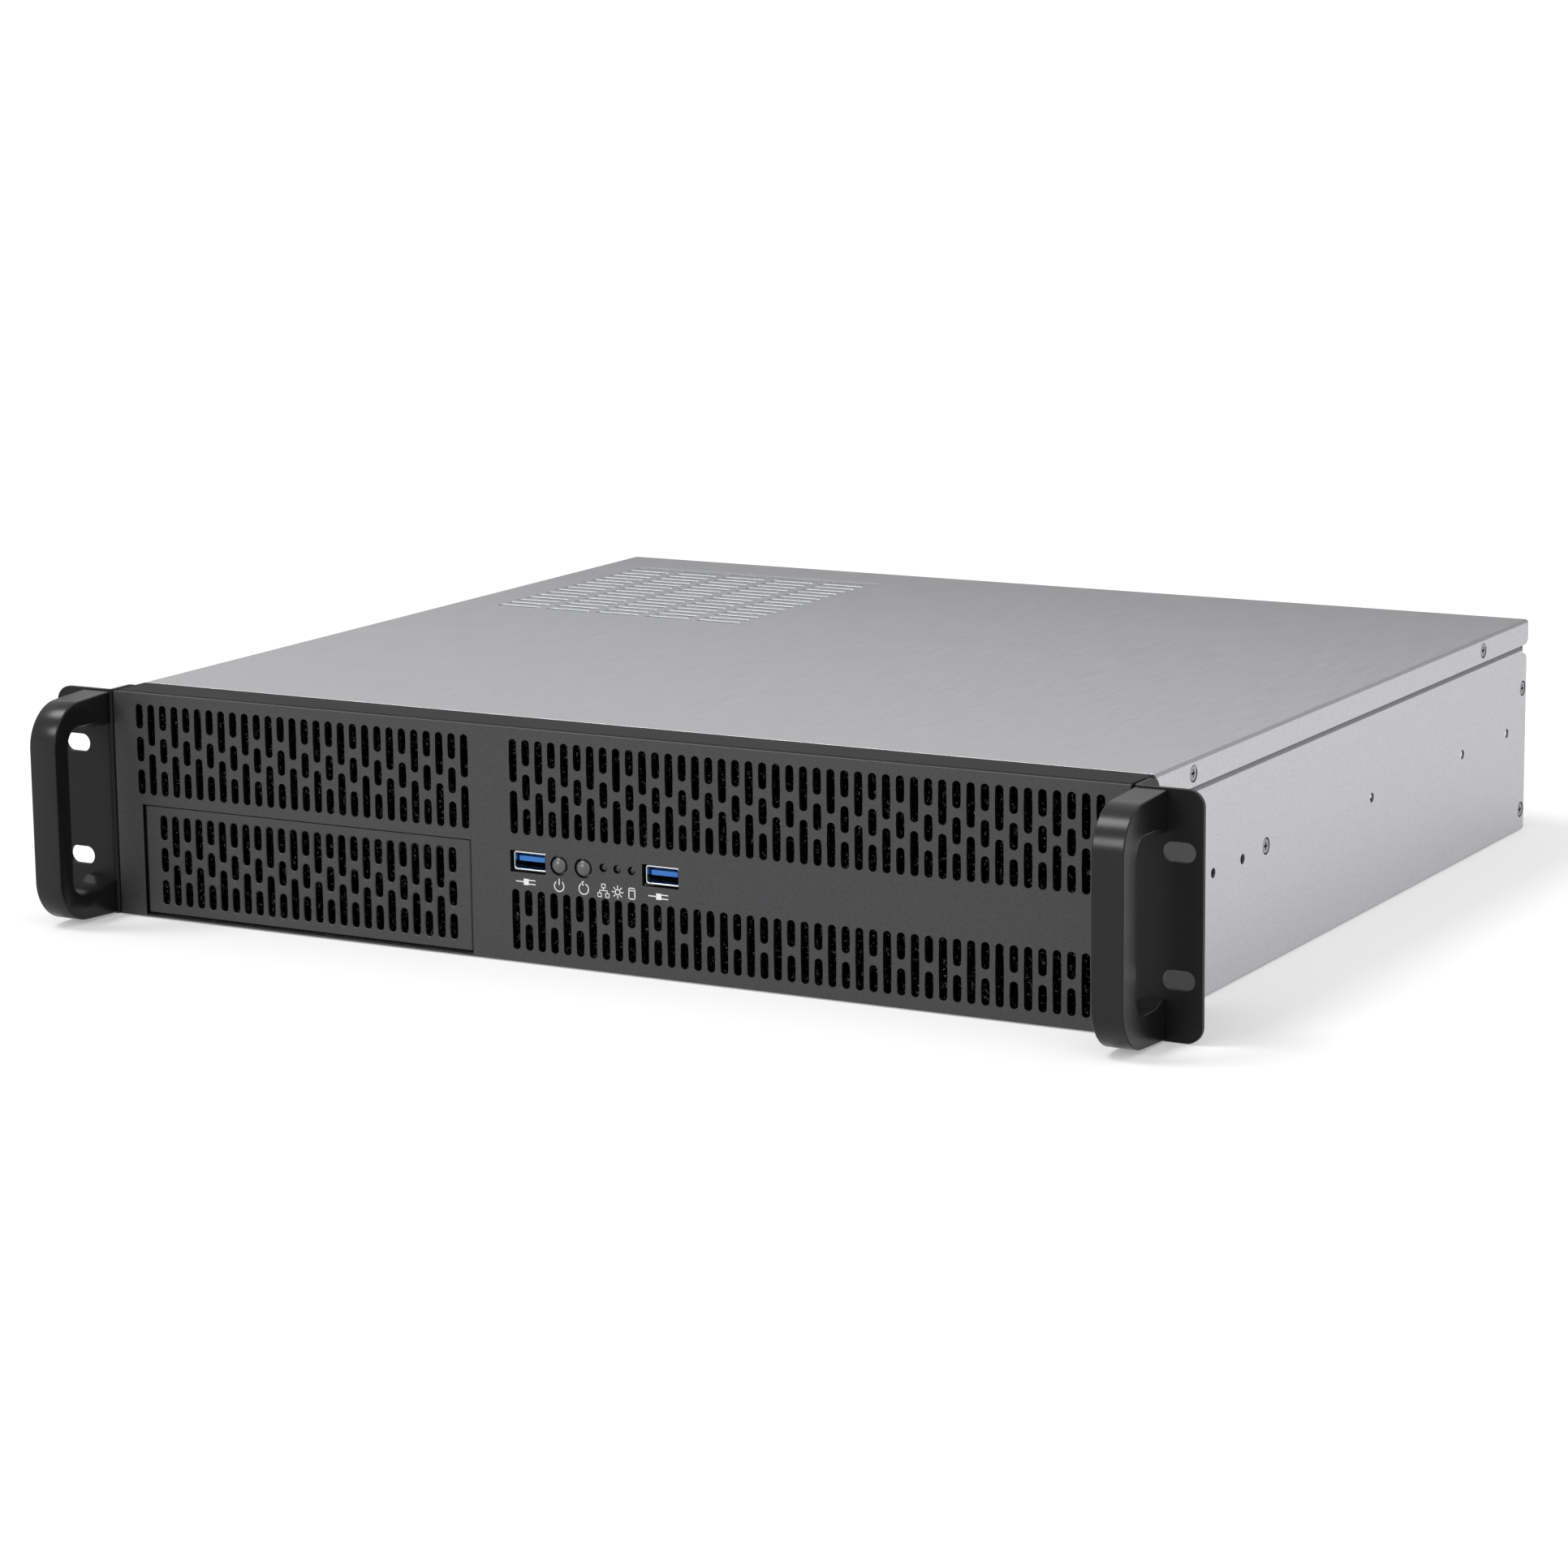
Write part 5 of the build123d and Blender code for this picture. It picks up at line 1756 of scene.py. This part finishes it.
@dataclass
class Studio:
    """Pale floor, soft light and the camera at the photograph's angle.

    Attributes:
        camera_place: Where the camera stands, in millimetres in the frame of the solids.
        camera_axes: Its right, its up and its back as directions.
        lens: Its focal length.
        sensor: Width of its sensor.
        sky: Strength of the even light from all round.
        suns: Each wide lamp's strength, softness in degrees, height and turn in degrees.
        floor_size: Width of the floor in metres.
        floor_place: Where its middle lies, in metres, a hair under the case.
        paper: Its colour, and the light it gives of its own to the camera and in reflections.
        card_x: Left and right side of the grey card, in the frame of the solids.
        card_z: Its lowest and highest Z.
        card_y: Its Y in the frame of the solids.
        card_tone: How bright it looks in reflections.
    """

    camera_place: tuple[float, float, float] = (837.288, -1533.188, 383.559)
    camera_axes: tuple[tuple[float, float, float], ...] = (
        (0.8740894664, 0.4856349178, -0.0112397226),
        (-0.0845425942, 0.1748709781, 0.9809549892),
        (0.4783514969, -0.8564921877, 0.1939097157),
    )
    lens: float = 102.98
    sensor: float = 36.0
    sky: float = 0.7
    suns: tuple[tuple[float, float, float, float], ...] = (
        (1.1, 20.0, 58.0, -64.0),
        (0.7, 16.0, 24.0, -25.0),
        (0.4, 50.0, 35.0, 60.0),
    )
    floor_size: float = 80.0
    floor_place: tuple[float, float, float] = (0.0, 20.0, -0.0002)
    paper: tuple[str, float] = ("#dcdcdc", 0.3)
    card_x: Span = (-900.0, 240.0)
    card_z: Span = (60.0, 270.0)
    card_y: float = 340.0
    card_tone: float = 0.4

    def camera(self) -> None:
        """Sets the camera up."""
        data = bpy.data.cameras.new("camera")
        data.lens = self.lens
        data.sensor_width = self.sensor
        data.clip_end = 200.0
        camera = bpy.data.objects.new("camera", data)
        turn = Matrix(self.camera_axes).transposed().to_4x4()
        camera.matrix_world = Matrix.Translation(Vector(self.camera_place) * MM) @ turn
        bpy.context.scene.collection.objects.link(camera)
        bpy.context.scene.camera = camera

    def lamps(self) -> None:
        """Adds the wide lamps, their height from the floor and their turn from the front to the right."""
        for strength, softness, height, turn in self.suns:
            data = bpy.data.lights.new("lamp", "SUN")
            data.energy = strength
            data.angle = math.radians(softness)
            lamp = bpy.data.objects.new("lamp", data)
            flat, round_z = math.radians(height), math.radians(turn)
            way = Vector(
                (math.cos(flat) * math.sin(round_z), -math.cos(flat) * math.cos(round_z), math.sin(flat))
            )
            lamp.rotation_euler = way.to_track_quat("Z", "Y").to_euler()
            bpy.context.scene.collection.objects.link(lamp)

    def seen(self, tree: NodeTree) -> NodeSocket:
        """Adds the test for a ray of the camera or of a reflection to a node tree."""
        path = add_node(tree, "ShaderNodeLightPath").outputs
        rays = {0: path["Is Camera Ray"], 1: path["Is Glossy Ray"]}
        return add_node(tree, "ShaderNodeMath", rays, operation="MAXIMUM").outputs["Value"]

    def room(self) -> None:
        """Lights the room evenly and shows it white to the camera, in reflections and through glass."""
        world = bpy.data.worlds.new("room")
        bpy.context.scene.world = world
        world.use_nodes = True
        tree = world.node_tree
        tree.nodes.clear()
        path = add_node(tree, "ShaderNodeLightPath")
        rays = {0: self.seen(tree), 1: path.outputs["Is Transmission Ray"]}
        shown = add_node(tree, "ShaderNodeMath", rays, operation="MAXIMUM")
        light = add_node(tree, "ShaderNodeBackground", {"Color": (1, 1, 1, 1), "Strength": self.sky})
        white = add_node(tree, "ShaderNodeBackground", {"Color": (1, 1, 1, 1), "Strength": 1.0})
        parts = {0: shown.outputs["Value"], 1: light.outputs["Background"], 2: white.outputs["Background"]}
        mix = add_node(tree, "ShaderNodeMixShader", parts)
        add_node(tree, "ShaderNodeOutputWorld", {"Surface": mix.outputs["Shader"]})

    def sheet(self, name: str, paper: str, colour: str, gloss: Span, **settings) -> Object:
        """Adds a flat sheet of studio paper.

        Args:
            name: Name of the sheet.
            paper: Name of its material.
            colour: Its colour.
            gloss: Its roughness and specular level.
            settings: Settings of the plane.

        Returns:
            The sheet.
        """
        sheet = made(bpy.ops.mesh.primitive_plane_add, name, **settings)
        material = bpy.data.materials.new(paper)
        material.use_nodes = True
        shader = material.node_tree.nodes["Principled BSDF"]
        shader.inputs["Base Color"].default_value = linear(colour)
        shader.inputs["Roughness"].default_value, shader.inputs["Specular IOR Level"].default_value = gloss
        shader.inputs["Emission Color"].default_value = (1, 1, 1, 1)
        sheet.data.materials.append(material)
        return sheet

    def floor(self) -> None:
        """Lays a pale floor that keeps the case's shadow and meets the white room."""
        colour, glow = self.paper
        settings = {"size": self.floor_size, "location": self.floor_place}
        floor = self.sheet("floor", "studio_paper_pale", colour, (0.9, 0.2), **settings)
        tree = floor.data.materials[0].node_tree
        lift = add_node(tree, "ShaderNodeMath", {0: self.seen(tree), 1: glow}, operation="MULTIPLY")
        shader = tree.nodes["Principled BSDF"]
        tree.links.new(lift.outputs["Value"], shader.inputs["Emission Strength"])

    def card(self) -> None:
        """Stands a grey card behind the case for reflections alone, which darkens the cover's rear."""
        wide, tall = (high - low for low, high in (self.card_x, self.card_z))
        middle = Vector((sum(self.card_x) / 2, self.card_y, sum(self.card_z) / 2)) * MM
        card = self.sheet("card", "studio_card_grey", "#000000", (0.5, 0.0), size=1)
        # The operator for a plane leaves out its scale, so the size goes into the mesh
        upright = Euler((math.pi / 2, 0, 0))
        card.data.transform(Matrix.LocRotScale(middle, upright, Vector((wide * MM, tall * MM, 1))))
        for ray in ("camera", "diffuse", "transmission", "volume_scatter", "shadow"):
            setattr(card, f"visible_{ray}", False)
        shader = card.data.materials[0].node_tree.nodes["Principled BSDF"]
        shader.inputs["Emission Strength"].default_value = self.card_tone

    def build(self) -> None:
        """Sets the whole studio up."""
        self.camera()
        self.lamps()
        self.room()
        self.floor()
        self.card()
        bpy.context.scene.view_settings.view_transform = "Standard"


def main() -> None:
    logging.basicConfig(level=logging.INFO, format="%(name)s: %(message)s")
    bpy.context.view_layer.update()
    Studio().build()
    panel = FrontPanel()
    panel.build()
    Symbols().build()
    BayCover().build()
    Filters().build()
    FrontKeys().build(panel.key_x)
    FrontLamps().build(panel.lamp_x)
    Sockets().build(panel.socket_x)
    FrontFrame().build()
    Ears().build()
    Handles().build()
    screws = Screws()
    Tub().build(screws)
    TopCover().build(screws)
    RearWall().build()
    Inside().build()
    screws.build()


if __name__ == "__main__":
    main()
